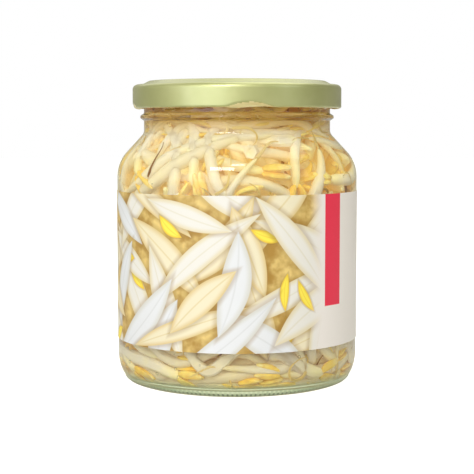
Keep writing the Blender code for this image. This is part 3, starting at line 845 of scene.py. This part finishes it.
def make_jar():
    def longest(z):
        return THREAD_SPAN if BEAD_Z < z < RIM_Z - RIM_FILLET else WALL_SPAN

    outside = spaced(outer_path(), longest)
    inside = spaced(outside[-1:] + seen_cavity(0, RIM_Z)[1:], lambda z: WALL_SPAN)[1:]
    outer_rows = len(outside) - 1

    def shape(r, z, angle):
        r = r.copy()
        degrees = np.degrees(angle)[None, :]
        outer = np.arange(len(r))[:, None] < outer_rows
        on_neck = outer & (z > BEAD_Z + BEAD_HEIGHT / 2) & (z < RIM_Z - RIM_FILLET)
        r = r + np.where(on_neck, thread_height(z, degrees), 0)
        in_body = (z > HEEL_HEIGHT) & (z < SHOULDER_START_Z)
        seam = (np.minimum(degrees % 180, 180 - degrees % 180) < SEAM_HALF_DEG) & outer & in_body
        r = r + np.where(seam, SEAM_HEIGHT, 0)
        dots = outer & (z > STIPPLE_ROWS[0]) & (z < STIPPLE_ROWS[1]) & (r > FOOT_OUTER_R)
        marks = np.arange(len(angle)) % (GLASS_SEGMENTS // STIPPLE_DOTS) == 0
        r = r + np.where(dots & marks, STIPPLE, 0)
        swell = smooth_step((z - WAVE_IN[0]) / WAVE_IN[1]) * smooth_step((WAVE_OUT[0] - z) / WAVE_OUT[1])
        waves = sum(size * np.sin(turns * angle + z / length) for size, turns, length in WAVES)
        r = r + np.where(outer, 0, WAVE * waves * swell)
        return r, z

    vertices, faces = turned(outside + inside, GLASS_SEGMENTS, shape)
    dry = new_material("clear soda-lime glass", lambda tree: glass(tree, GLASS_IOR))
    wet = new_material("soda-lime glass wetted by brine", lambda tree: glass(tree, GLASS_IOR / BRINE_IOR))
    jar = make_piece("glass_jar", vertices, faces, [dry, wet], ["jar"], sharp_deg=60)
    side_faces = (len(outside) + len(inside) - 3) * GLASS_SEGMENTS
    fans = np.repeat([0, len(outside) + len(inside)], GLASS_SEGMENTS)
    row = np.concatenate([np.arange(side_faces) // GLASS_SEGMENTS, fans])
    middle_z = np.array([face.center.z for face in jar.data.polygons]) / MM
    is_wet = (row >= outer_rows - 1) & (middle_z < BRINE_TOP_Z)
    jar.data.polygons.foreach_set("material_index", is_wet.astype(np.int32))
    return jar


def make_brine():
    path = spaced(seen_cavity(BRINE_GAP, BRINE_TOP_Z), lambda z: 2 * WALL_SPAN)
    profile = list(reversed(path)) + [(0, BRINE_TOP_Z)]
    finish = new_material("brine, tinted by the sprouts", brine, amber_depth)
    vertices, faces = turned(profile, BRINE_SEGMENTS)
    return make_piece("brine_fill", vertices, faces, [finish], ["brine"], sharp_deg=60)


# The lid


def lug_arch(degrees):
    """How high the crease over the lugs arches, 1 at a lug's middle, and the degrees from that middle."""
    half_way = LUG_APART_DEG / 2
    from_lug = (degrees - LUG_CENTRE_DEG + half_way) % LUG_APART_DEG - half_way
    return np.clip(1 - (from_lug / LUG_HALF_DEG) ** 2, 0, 1), from_lug


def make_lid():
    curl_in = LID_R - CURL_DEPTH
    skirt_in = LID_R - SHEET
    low = PANEL_Z - PANEL_SUNK
    profile = rounded(
        [
            (0, low - SHEET, 0),
            (RING_INNER_R, low - SHEET, RING_FILLET),
            (RING_OUTER_R, PANEL_Z - SHEET, RING_FILLET),
            (PANEL_R - STEP_SHIFT, PANEL_Z - SHEET, INNER_FILLET),
            (LEDGE_INNER_R - STEP_SHIFT, LEDGE_Z - SHEET, INNER_FILLET),
            (skirt_in, LEDGE_Z - SHEET, LEDGE_FILLET - SHEET),
            (skirt_in, LID_BOTTOM_Z + CURL_HEIGHT + CURL_LIP, CURL_LIP_FILLET),
            (curl_in, LID_BOTTOM_Z + CURL_HEIGHT, INNER_FILLET),
            (curl_in, LID_BOTTOM_Z, CURL_FILLET),
            (LID_R, LID_BOTTOM_Z, CURL_FILLET),
            (LID_R, LEDGE_Z, LEDGE_FILLET),
            (LEDGE_INNER_R, LEDGE_Z + LEDGE_RISE, LEDGE_CREASE),
            (PANEL_R, PANEL_Z, PANEL_FILLET),
            (RING_OUTER_R, PANEL_Z, RING_FILLET),
            (RING_INNER_R, low, RING_FILLET),
            (BUTTON_R + BUTTON_SLOPE, low, BUTTON_FILLET),
            (BUTTON_R, low + BUTTON_RISE, BUTTON_FILLET),
            (0, low + BUTTON_RISE + BUTTON_CROWN, 0),
        ]
    )
    profile = spaced(profile, lambda z: LUG_SPAN if z < LUG_ROWS_BELOW_Z else LID_SPAN)

    def shape(r, z, angle):
        arch, from_lug = lug_arch(np.degrees(angle)[None, :])
        crease = LID_BOTTOM_Z + LUG_ARC * arch
        below = np.clip((crease - z) / (LUG_FADE * LUG_ARC), 0, 1)
        amount = np.sqrt(arch) * below * (r > SKIRT_FROM_R)
        r = r - amount * LUG_IN
        z = z - amount * (LUG_SQUEEZE * (z - LID_BOTTOM_Z) - RISE_PER_DEGREE * from_lug)
        return r, z

    finishes = [
        new_material("gold-green lacquered tinplate", lacquer),
        new_material("gold lacquer inside the lid, painted reflection on the lugs", inside_lacquer_and_lug_reflection),
    ]
    vertices, faces = turned(profile, LID_SEGMENTS, shape)
    lid = make_piece("lid_cap", vertices, faces, finishes, ["lid"], "lid", 50)
    # Faces drawn in past the skirt take the inside finish; on the lugs that is a painted floor reflection.
    for face in lid.data.polygons:
        x, y, z = face.center / MM
        turned_in = z < LEDGE_Z - INSIDE_BELOW or face.normal.z < INSIDE_FACING
        face.material_index = int(turned_in and math.hypot(x, y) < LID_R - INSIDE_DEPTH)
    return lid


# The label


def make_label():
    inner, outer = LABEL_INNER_R, LABEL_INNER_R + LABEL_THICKNESS
    gap = LABEL_BACK_GAP / outer
    along = np.arange(LABEL_SEGMENTS + 1) / LABEL_SEGMENTS
    angles = math.pi / 2 + gap / 2 + (2 * math.pi - gap) * along
    heights = np.linspace(LABEL_LOW_Z, LABEL_HIGH_Z, LABEL_ROWS)
    middle, half_height = (LABEL_LOW_Z + LABEL_HIGH_Z) / 2, (LABEL_HIGH_Z - LABEL_LOW_Z) / 2
    loop = [(outer, z) for z in heights] + [(inner, z) for z in heights[::-1]]
    vertices = []
    for angle in angles:
        lift = LABEL_LIFT * math.sin(LABEL_RIPPLES[0] * angle) * math.sin(LABEL_RIPPLES[1] * angle)
        for r, z in loop:
            edge = (abs(z - middle) / half_height) ** LABEL_EDGE_POWER
            radius = r + max(0.0, lift) * edge
            vertices.append((radius * math.cos(angle), radius * math.sin(angle), z))
    size = len(loop)
    faces = []
    for i in range(LABEL_SEGMENTS):
        for j in range(size):
            a, b = i * size + j, i * size + (j + 1) % size
            faces.append([a, b, b + size, a + size])
    faces.append(list(range(size))[::-1])
    faces.append(list(range(LABEL_SEGMENTS * size, (LABEL_SEGMENTS + 1) * size)))
    finish = new_material("coated label paper", label_paper)
    return make_piece("paper_label", vertices, faces, [finish], ["label"])


# How the sprouts lie. This repeats the rule that laid out the solid bunch, so both have one form.


def wall_at(heights, inset, cavity=cavity_path):
    """The cavity's radius at each height, drawn in by inset."""
    path = cavity(inset, RIM_Z)[:-2]
    return np.interp(heights, [z for _, z in path][::-1], [r for r, _ in path][::-1])


def first_lines(rng, count):
    """Centre lines that follow the wall in layers, each with its own heading and bend."""
    depth = np.repeat(LAYER_DEPTH + LAYER_STEP * np.arange(LAYERS), SPROUTS_A_LAYER)
    step = rng.uniform(*SPROUT_LENGTH, count) / (SPROUT_POINTS - 1)
    angle = rng.uniform(0, 2 * math.pi, count)
    low, high = FLOOR_Z + FLOOR_RISE + END_ROOM[0], SPROUT_TOP_Z - END_ROOM[1]
    height = rng.uniform(low, high, count)
    heading = rng.normal(0, HEADING_SPREAD, count) + math.pi * rng.integers(0, 2, count)
    bend = rng.normal(0, BEND_SPREAD, count)
    hook = rng.choice([-1, 1], count) * rng.uniform(*HOOK, count)
    lines = np.zeros((count, SPROUT_POINTS, 3))
    for i in range(SPROUT_POINTS):
        radius = wall_at(height, BUNCH_INSET) - depth
        lines[:, i] = around(radius, angle, height)
        angle = angle + np.cos(heading) * step / radius
        height = height + np.sin(heading) * step
        heading = np.where((height < low) | (height > high), -heading, heading)
        height = np.clip(height, low, high)
        heading = heading + bend * step + (hook if i < HOOK_POINTS else 0)
    return lines, step


def point_radii(stem):
    """The radius of each sprout at each of its points, from its head to the tip of its root."""
    along = np.linspace(0, 1, SPROUT_POINTS)
    shape = np.interp(along, *zip(*STEM_TAPER))
    radii = stem[:, None] * shape
    radii[:, 0] = HEAD_R
    return radii


def push_apart(flat, radii, owner, pairs):
    a, b = pairs
    delta = flat[b] - flat[a]
    distance = np.linalg.norm(delta, axis=1) + TINY
    overlap = radii[a] + radii[b] - distance
    hit = (overlap > 0) & (owner[a] != owner[b])
    a, b = a[hit], b[hit]
    move = delta[hit] * (0.5 * overlap[hit] / distance[hit])[:, None]
    for axis in range(3):
        flat[:, axis] -= np.bincount(a, move[:, axis], len(flat))
        flat[:, axis] += np.bincount(b, move[:, axis], len(flat))


def close_pairs(flat, reach):
    square = (flat**2).sum(axis=1)
    apart = square[:, None] + square[None, :] - 2 * flat @ flat.T
    return np.nonzero(np.triu(apart < reach**2, 1))


def hold_spacing(lines, spacing, skip, share):
    """Draws points that are skip apart along each line towards their spacing."""
    for phase in range(2 * skip):
        a = lines[:, phase : lines.shape[1] - skip : 2 * skip]
        b = lines[:, phase + skip :: 2 * skip][:, : a.shape[1]]
        delta = b - a
        distance = np.linalg.norm(delta, axis=2, keepdims=True) + TINY
        wanted = spacing[:, phase : phase + 2 * skip * a.shape[1] : 2 * skip][:, : a.shape[1], None]
        move = delta * (0.5 * share * (distance - wanted) / distance)
        a += move
        b -= move


def floor_at(reach, inset=BUNCH_INSET, floor_z=FLOOR_Z):
    """The lowest that the bunch comes at each distance from the axis."""
    return floor_z + inset + FLOOR_RISE * np.maximum(0, 1 - reach / FLOOR_DOME_R)


def hold_inside(lines, radii):
    reach = np.hypot(lines[..., 0], lines[..., 1]) + TINY
    lines[..., 2] = np.clip(lines[..., 2], floor_at(reach) + radii, SPROUT_TOP_Z - radii)
    limit = wall_at(lines[..., 2] + WALL_ROOM, BUNCH_INSET) - radii
    kept = np.clip(reach, limit - DEEPEST, limit)
    lines[..., :2] *= (kept / reach)[..., None]


def lay_out_sprouts():
    """Centre lines (sprout, point, xyz) and radii (sprout, point) of the sprouts, packed in the jar."""
    rng = np.random.default_rng(SEED)
    count = LAYERS * SPROUTS_A_LAYER
    lines, step = first_lines(rng, count)
    radii = point_radii(rng.uniform(*STEM_R, count))
    spacing = np.repeat(step[:, None], SPROUT_POINTS - 1, axis=1)
    bent = np.linalg.norm(lines[:, 2:] - lines[:, :-2], axis=2)
    bent = np.clip(bent, *(limit * step[:, None] for limit in BEND_LIMITS))
    owner = np.repeat(np.arange(count), SPROUT_POINTS)
    for sweep in range(SWEEPS):
        grown = radii * min(1.0, GROWN_FROM + GROWING * sweep / SWEEPS)
        flat = lines.reshape(-1, 3)
        flat[:, :2] *= 1 + OUTWARD * (1 - sweep / SWEEPS)
        if sweep % PAIRS_EVERY == 0:
            pairs = close_pairs(flat, 2 * HEAD_R + PAIR_ROOM)
        push_apart(flat, grown.reshape(-1) * TOUCHING, owner, pairs)
        for _ in range(2):
            hold_spacing(lines, bent, 2, 0.5)
            hold_spacing(lines, spacing, 1, 1.0)
        hold_inside(lines, radii)
    return lines, radii


# The sprouts' fine surfaces


def glass_at(heights, inset):
    """The radius of the inside that is seen, at each height."""
    return wall_at(heights, inset, seen_cavity)


def against_glass(points):
    """The bunch's points moved out from their place in the solid bunch to lie against the glass."""
    points = np.array(points, float)
    drop = BUNCH_INSET - FINE_INSET + FLOOR_Z - SEEN_FLOOR_Z
    points[..., 2] -= drop * np.clip(1 - points[..., 2] / FLOOR_REACH_Z, 0, 1)
    z = points[..., 2]
    points[..., :2] *= (glass_at(z, FINE_INSET) / wall_at(z, BUNCH_INSET))[..., None]
    return points


def laid_flat(lines):
    """Sprouts whose ends would point straight at the glass turn along it instead."""
    reach = np.hypot(lines[..., 0], lines[..., 1]) + TINY
    eased = reach.copy()
    for near, end in ((2, 1), (1, 0), (-3, -2), (-2, -1)):
        eased[:, end] = np.minimum(eased[:, end], eased[:, near] + END_SLOPE)
    lines[..., :2] *= (eased / reach)[..., None]
    return lines


def kept_in(points):
    """Points past the wall, the floor or the brine's top are pressed back against it."""
    reach = np.hypot(points[..., 0], points[..., 1]) + TINY
    lowest = floor_at(reach, FINE_INSET, SEEN_FLOOR_Z)
    points[..., 2] = np.clip(points[..., 2], lowest, BRINE_TOP_Z - BRINE_SKIN)
    limit = glass_at(points[..., 2], FINE_INSET)
    points[..., :2] *= (np.minimum(reach, limit) / reach)[..., None]
    return points


def resampled(lines, count):
    """Each line as a smooth curve through its eased points, read at count places."""
    eased = lines.copy()
    for _ in range(2):
        eased[:, 1:-1] = 0.5 * eased[:, 1:-1] + 0.25 * (eased[:, :-2] + eased[:, 2:])
    first = 2 * eased[:, :1] - eased[:, 1:2]
    last = 2 * eased[:, -1:] - eased[:, -2:-1]
    held = np.concatenate([first, eased, last], axis=1)
    where = np.linspace(0, lines.shape[1] - 1, count)
    start = np.minimum(where.astype(int), lines.shape[1] - 2)
    t = (where - start)[None, :, None]
    p0, p1, p2, p3 = (held[:, start + k] for k in range(4))
    bend = 2 * p0 - 5 * p1 + 4 * p2 - p3
    twist = 3 * p1 - p0 - 3 * p2 + p3
    return 0.5 * (2 * p1 + (p2 - p0) * t + bend * t**2 + twist * t**3)


def unit(vectors):
    return vectors / (np.linalg.norm(vectors, axis=-1, keepdims=True) + TINY)


def carried_frames(lines, across):
    """Directions along each line, and two across it that don't twist, starting from the one given."""
    along = unit(np.gradient(lines, axis=1))
    kept = []
    for i in range(lines.shape[1]):
        across = unit(across - (across * along[:, i]).sum(axis=1, keepdims=True) * along[:, i])
        kept.append(across)
    sideways = np.stack(kept, axis=1)
    return along, sideways, np.cross(along, sideways)


def tubes(lines, wide, thick, across, sides):
    """Closed bodies round the lines: vertices (line, point, xyz) and one body's faces."""
    count, points = lines.shape[:2]
    _, sideways, out = carried_frames(lines, across)
    turns = 2 * math.pi * np.arange(sides) / sides
    ring = np.cos(turns)[:, None] * sideways[:, :, None] * thick[:, :, None, None]
    ring = ring + np.sin(turns)[:, None] * out[:, :, None] * wide[:, :, None, None]
    rings = (lines[:, :, None] + ring).reshape(count, -1, 3)
    vertices = np.concatenate([lines[:, :1], rings, lines[:, -1:]], axis=1)
    last = points * sides + 1
    faces = []
    for k in range(sides):
        near, far = 1 + k, 1 + (k + 1) % sides
        faces.append([0, far, near])
        for i in range(points - 1):
            row = i * sides
            faces.append([near + row, far + row, far + row + sides, near + row + sides])
        row = (points - 1) * sides
        faces.append([near + row, far + row, last])
    return vertices, faces


def many_bodies(name, vertices, body_faces, along, tints, finish):
    """One piece from a set of like bodies, whose points store the values that the finish reads."""
    size = vertices.shape[1]
    faces = []
    for i in range(len(vertices)):
        faces += [[k + i * size for k in face] for face in body_faces]
    vertices = kept_in(vertices)
    depth = glass_at(vertices[..., 2], 0) - np.hypot(vertices[..., 0], vertices[..., 1])
    piece = make_piece(name, vertices.reshape(-1, 3), faces, [finish], ["sprouts"])
    values = {
        "along": np.broadcast_to(along, vertices.shape[:2]),
        "depth": np.clip(depth / DEEP_AT, 0, 1),
        "tint": np.broadcast_to(tints[:, None], vertices.shape[:2]),
    }
    for key, value in values.items():
        stored = piece.data.attributes.new(key, "FLOAT", "POINT")
        stored.data.foreach_set("value", np.ascontiguousarray(value, np.float32).reshape(-1))
    return piece


def along_values(points, sides):
    return np.concatenate([[0], np.repeat(np.linspace(0, 1, points), sides), [1]])


def make_stems(lines, radii, tints, sector, rng, finish):
    fine = resampled(lines, STEM_POINTS)
    where = np.linspace(0, SPROUT_POINTS - 1, STEM_POINTS)
    radii = radii.copy()
    radii[:, 0] = radii[:, 1] * HEAD_END
    thick = np.array([np.interp(where, np.arange(SPROUT_POINTS), row) for row in radii])
    lumps = resampled(rng.normal(0, 1, (len(lines), LUMPS, 1)), STEM_POINTS)[..., 0]
    thick = FINE_SWELL * thick * (1 + LUMP * lumps)
    thick[:, : len(STEM_ENDS)] *= STEM_ENDS
    thick[:, -1] *= STEM_TIP
    across = np.cross(fine[:, 1] - fine[:, 0], fine[:, 0] * (1, 1, 0))
    flat = thick * rng.uniform(*STEM_FLATNESS, (len(lines), 1))
    vertices, faces = tubes(fine, thick, flat, unit(across), STEM_SIDES)
    along = along_values(STEM_POINTS, STEM_SIDES)
    return many_bodies(f"sprout_stems_{sector}", vertices, faces, along, tints, finish)


def make_seed_leaves(lines, tints, sector, rng, finish):
    """Two seed leaves at each head: cupped ovals that start together and lean apart."""
    along = unit(lines[:, 0] - lines[:, 1])
    outward = unit(lines[:, 0] * (1, 1, 0))
    across = unit(np.cross(along, outward))
    length = rng.uniform(*LEAF_LENGTH, len(lines))
    half_width = rng.uniform(*LEAF_WIDTH, len(lines))
    opening = rng.uniform(*LEAF_OPENING, len(lines))
    t = np.linspace(0, 1, LEAF_POINTS)
    oval = np.sqrt(np.clip(1 - (2 * t**LEAF_FULLNESS - 1) ** 2, 0, 1)) + LEAF_TIP
    curve = LEAF_CURVE[0] - LEAF_CURVE[1] * t
    shapes, kinds = [], []
    for side in (-1, 1):
        lean = (LEAF_APART + opening[:, None] * length[:, None] * t * curve) * side
        ahead = length[:, None] * t - LEAF_START
        line = lines[:, :1] + along[:, None] * ahead[..., None] + across[:, None] * lean[..., None]
        wide = half_width[:, None] * oval
        vertices, faces = tubes(line, wide, LEAF_THINNESS * wide, across, LEAF_SIDES)
        shapes.append(vertices)
        kinds.append(tints)
    return many_bodies(
        f"seed_leaves_{sector}",
        np.concatenate(shapes),
        faces,
        along_values(LEAF_POINTS, LEAF_SIDES),
        np.concatenate(kinds),
        finish,
    )


def make_roots(lines, tints, sector, rng, finish):
    """A thin root that wanders on from the end of each stem, along the glass."""
    here = lines[:, -1].copy()
    along = unit(lines[:, -1] - lines[:, -2])
    step = rng.uniform(*ROOT_LENGTH, len(lines)) / (ROOT_POINTS - 1)
    turning = rng.normal(0, ROOT_TURN, len(lines))
    path = [here]
    for _ in range(ROOT_POINTS - 1):
        outward = unit(here * (1, 1, 0))
        sideways = unit(np.cross(outward, along))
        turning = turning + rng.normal(0, ROOT_WANDER, len(lines))
        along = unit(along + sideways * turning[:, None])
        here = kept_in((here + along * step[:, None]).copy())
        path.append(here)
    path = np.stack(path, axis=1)
    thick = np.linspace(*ROOT_R, ROOT_POINTS)[None, :] * rng.uniform(*ROOT_SHARE, (len(lines), 1))
    across = unit(np.cross(along, here * (1, 1, 0)))
    vertices, faces = tubes(path, thick, thick, across, ROOT_SIDES)
    stored = along_values(ROOT_POINTS, ROOT_SIDES)
    return many_bodies(f"sprout_roots_{sector}", vertices, faces, stored, tints, finish)


def ring_sprouts(rng, count, heights):
    """Sprouts that lie along the wall between two heights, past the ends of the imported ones."""
    step = rng.uniform(*SPROUT_LENGTH, count) / (SPROUT_POINTS - 1)
    radii = point_radii(rng.uniform(*STEM_R, count))
    scatter = rng.uniform(-MORE_SCATTER, MORE_SCATTER, count)
    angle = 2 * math.pi * (np.arange(count) + scatter) / count
    height = rng.uniform(heights[0], sum(heights) / 2, count)
    depth = rng.uniform(*MORE_DEPTHS, count)
    heading = rng.normal(0, MORE_HEADING, count) + math.pi * rng.integers(0, 2, count)
    points = []
    for _ in range(SPROUT_POINTS):
        reach = glass_at(height, FINE_INSET) - depth
        points.append(around(reach, angle, height))
        angle = angle + np.cos(heading) * step / reach
        height = np.clip(height + np.sin(heading) * step, *heights)
        heading = heading + rng.normal(0, MORE_WANDER, count)
    lines = np.stack(points, axis=1)
    return kept_in(lines), radii


def make_inner_stems(finish):
    """The rest of the bunch, behind what can be seen clearly: plain stems that lie all ways."""
    rng = np.random.default_rng(SEED + 2)
    angle, heading = rng.uniform(0, 2 * math.pi, (2, INNER_SPROUTS))
    reach = INNER_R * np.sqrt(rng.uniform(0, 1, INNER_SPROUTS))
    height = rng.uniform(*INNER_HEIGHTS, INNER_SPROUTS)
    rise = rng.normal(0, INNER_RISE, INNER_SPROUTS)
    middle = around(reach, angle, height)
    way = unit(around(1, heading, rise))
    half_length = rng.uniform(*INNER_HALF_LENGTH, (INNER_SPROUTS, 1, 1))
    places = np.linspace(-1, 1, INNER_POINTS)[None, :, None] * half_length
    lines = kept_in(middle[:, None] + way[:, None] * places)
    thick = np.full((INNER_SPROUTS, INNER_POINTS), INNER_STEM_R)
    thick[:, (0, -1)] *= INNER_END
    across = unit(np.cross(way, (0.1, 0.2, 1.0)))
    vertices, faces = tubes(lines, thick, thick, across, INNER_SIDES)
    tints = rng.uniform(0, 1, INNER_SPROUTS)
    along = along_values(INNER_POINTS, INNER_SIDES)
    return many_bodies("sprout_stems_inner", vertices, faces, along, tints, finish)


def make_sprouts():
    lines, radii = lay_out_sprouts()
    lines = laid_flat(against_glass(lines))
    rng = np.random.default_rng(SEED + 1)
    for more_lines, more_radii in (
        ring_sprouts(rng, FOOT_SPROUTS, FOOT_HEIGHTS),
        ring_sprouts(rng, NECK_SPROUTS, NECK_HEIGHTS),
    ):
        lines = np.concatenate([lines, more_lines])
        radii = np.concatenate([radii, more_radii])
    tints = rng.uniform(0, 1, len(lines))
    middle = lines.mean(axis=1)
    turn = np.arctan2(middle[:, 1], middle[:, 0]) / (2 * math.pi) + 0.5
    sector = (turn * SECTORS).astype(int) % SECTORS
    stem = new_material("blanched bean stem", stem_flesh)
    leaf = new_material("mung bean seed leaf", leaf_flesh)
    root = new_material("bean root", root_flesh)
    make_inner_stems(stem)
    for i in range(SECTORS):
        own = sector == i
        make_stems(lines[own], radii[own], tints[own], i + 1, rng, stem)
        make_seed_leaves(lines[own], tints[own], i + 1, rng, leaf)
        make_roots(lines[own], tints[own], i + 1, rng, root)


def make_bubbles():
    """Small air bubbles that cling to the glass, most of them low down."""
    rng = np.random.default_rng(BUBBLE_SEED)
    vertices, faces = [], []
    for _ in range(BUBBLES):
        size = rng.uniform(*BUBBLE_R)
        z = BUBBLE_LOW_Z + BUBBLE_SPAN * rng.beta(*BUBBLE_SPREAD)
        angle = rng.uniform(0, 2 * math.pi)
        reach = float(glass_at(z, BUBBLE_GAP)) - size
        middle = np.array([reach * math.cos(angle), reach * math.sin(angle), z])
        arc = np.linspace(0, math.pi, BUBBLE_ROWS)
        profile = [(size * math.sin(a), -size * math.cos(a)) for a in arc]
        points, own_faces = turned(profile, BUBBLE_SIDES)
        start = len(vertices)
        vertices += (np.array(points) + middle).tolist()
        faces += [[i + start for i in face] for face in own_faces]
    finish = new_material("air bubble in brine", trapped_air)
    return make_piece("air_bubbles", vertices, faces, [finish], sharp_deg=80)


# Floor, light and camera


def plainly_seen(tree):
    """1 for what the eye sees, straight or through glass, and 0 for the light that falls on the jar."""
    path = add(tree, "LightPath", {}, None)
    seen = {0: path["Is Camera Ray"], 1: path["Is Transmission Ray"]}
    return add(tree, "Math", seen, operation="MAXIMUM")


def white_sweep(tree):
    """A lit white table: it shows plain white, and throws back less light than that on the jar."""
    shown = {"Value": plainly_seen(tree), "To Min": 0.0, "To Max": 0.8}
    inputs = {
        "Base Color": colour("#D2D2D0"),
        "Roughness": 0.9,
        "Specular IOR Level": 0.0,
        "Emission Color": colour("#FFFFFF"),
        "Emission Strength": add(tree, "MapRange", shown),
    }
    return add(tree, "BsdfPrincipled", inputs)


def make_floor():
    mesh = bpy.data.meshes.new("floor")
    side = FLOOR_HALF_SIDE
    corners = [(-side, -side, 0), (side, -side, 0), (side, side, 0), (-side, side, 0)]
    mesh.from_pydata(corners, [], [[0, 1, 2, 3]])
    mesh.materials.append(new_material("white sweep", white_sweep))
    placed("floor", mesh)


def make_world():
    """A white room that is brighter on one side, seen as plain white."""
    world = bpy.data.worlds.new("white studio")
    bpy.context.scene.world = world
    world.use_nodes = True
    tree = world.node_tree
    tree.nodes.clear()
    white = colour("#FFFFFF")
    way = add(tree, "TexCoord", {}, "Generated")
    towards = add(tree, "VectorMath", {0: way, 1: ROOM_BRIGHT_SIDE}, "Value", operation="DOT_PRODUCT")
    facing = add(tree, "Math", {0: towards, 1: 0.0}, operation="MAXIMUM")
    bright = add(tree, "Math", {0: facing, 1: ROOM_FOCUS}, operation="POWER")
    even = add(tree, "Math", {0: towards, 1: ROOM_SLOPE, 2: ROOM_LIGHT}, operation="MULTIPLY_ADD")
    strength = add(tree, "Math", {0: bright, 1: ROOM_GAIN, 2: even}, operation="MULTIPLY_ADD")
    hue = layered(tree, colour("#FFFDE8"), (bright, white))
    room = add(tree, "Background", {"Color": hue, "Strength": strength})
    backdrop = add(tree, "Background", {"Color": white, "Strength": 1.0})
    seen = add(tree, "MixShader", {0: plainly_seen(tree), 1: room, 2: backdrop})
    add(tree, "OutputWorld", {"Surface": seen}, None)


def make_lamp(name, place, aim_z, size, power, hue):
    """An area lamp that looks at the jar's axis, at the height aim_z."""
    data = bpy.data.lights.new(name, "AREA")
    data.color = colour(hue)[:3]
    data.shape = "RECTANGLE"
    data.size, data.size_y = size
    data.energy = power
    lamp = placed(name, data)
    lamp.location = place
    towards = np.array((0, 0, aim_z)) - np.array(place)
    pitch = math.atan2(math.hypot(towards[0], towards[1]), -towards[2])
    lamp.rotation_euler = (pitch, 0, math.atan2(towards[1], towards[0]) - math.pi / 2)


def make_camera():
    data = bpy.data.cameras.new("camera")
    data.lens = CAMERA_LENS
    data.sensor_width = CAMERA_SENSOR
    camera = placed("camera", data)
    camera.location = CAMERA_PLACE
    camera.rotation_euler = (math.radians(90 - CAMERA_DIP_DEG), 0, 0)
    bpy.context.scene.camera = camera


def finish_seal():
    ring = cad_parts["lid_seal"]
    for place in ring.material_slots:
        place.material = new_material("vinyl sealing compound", compound)


make_camera()
make_floor()
make_world()
for lamp in LAMPS:
    make_lamp(*lamp)
bpy.context.scene.view_settings.view_transform = "Standard"

make_jar()
make_brine()
make_lid()
make_label()
make_sprouts()
make_bubbles()
finish_seal()
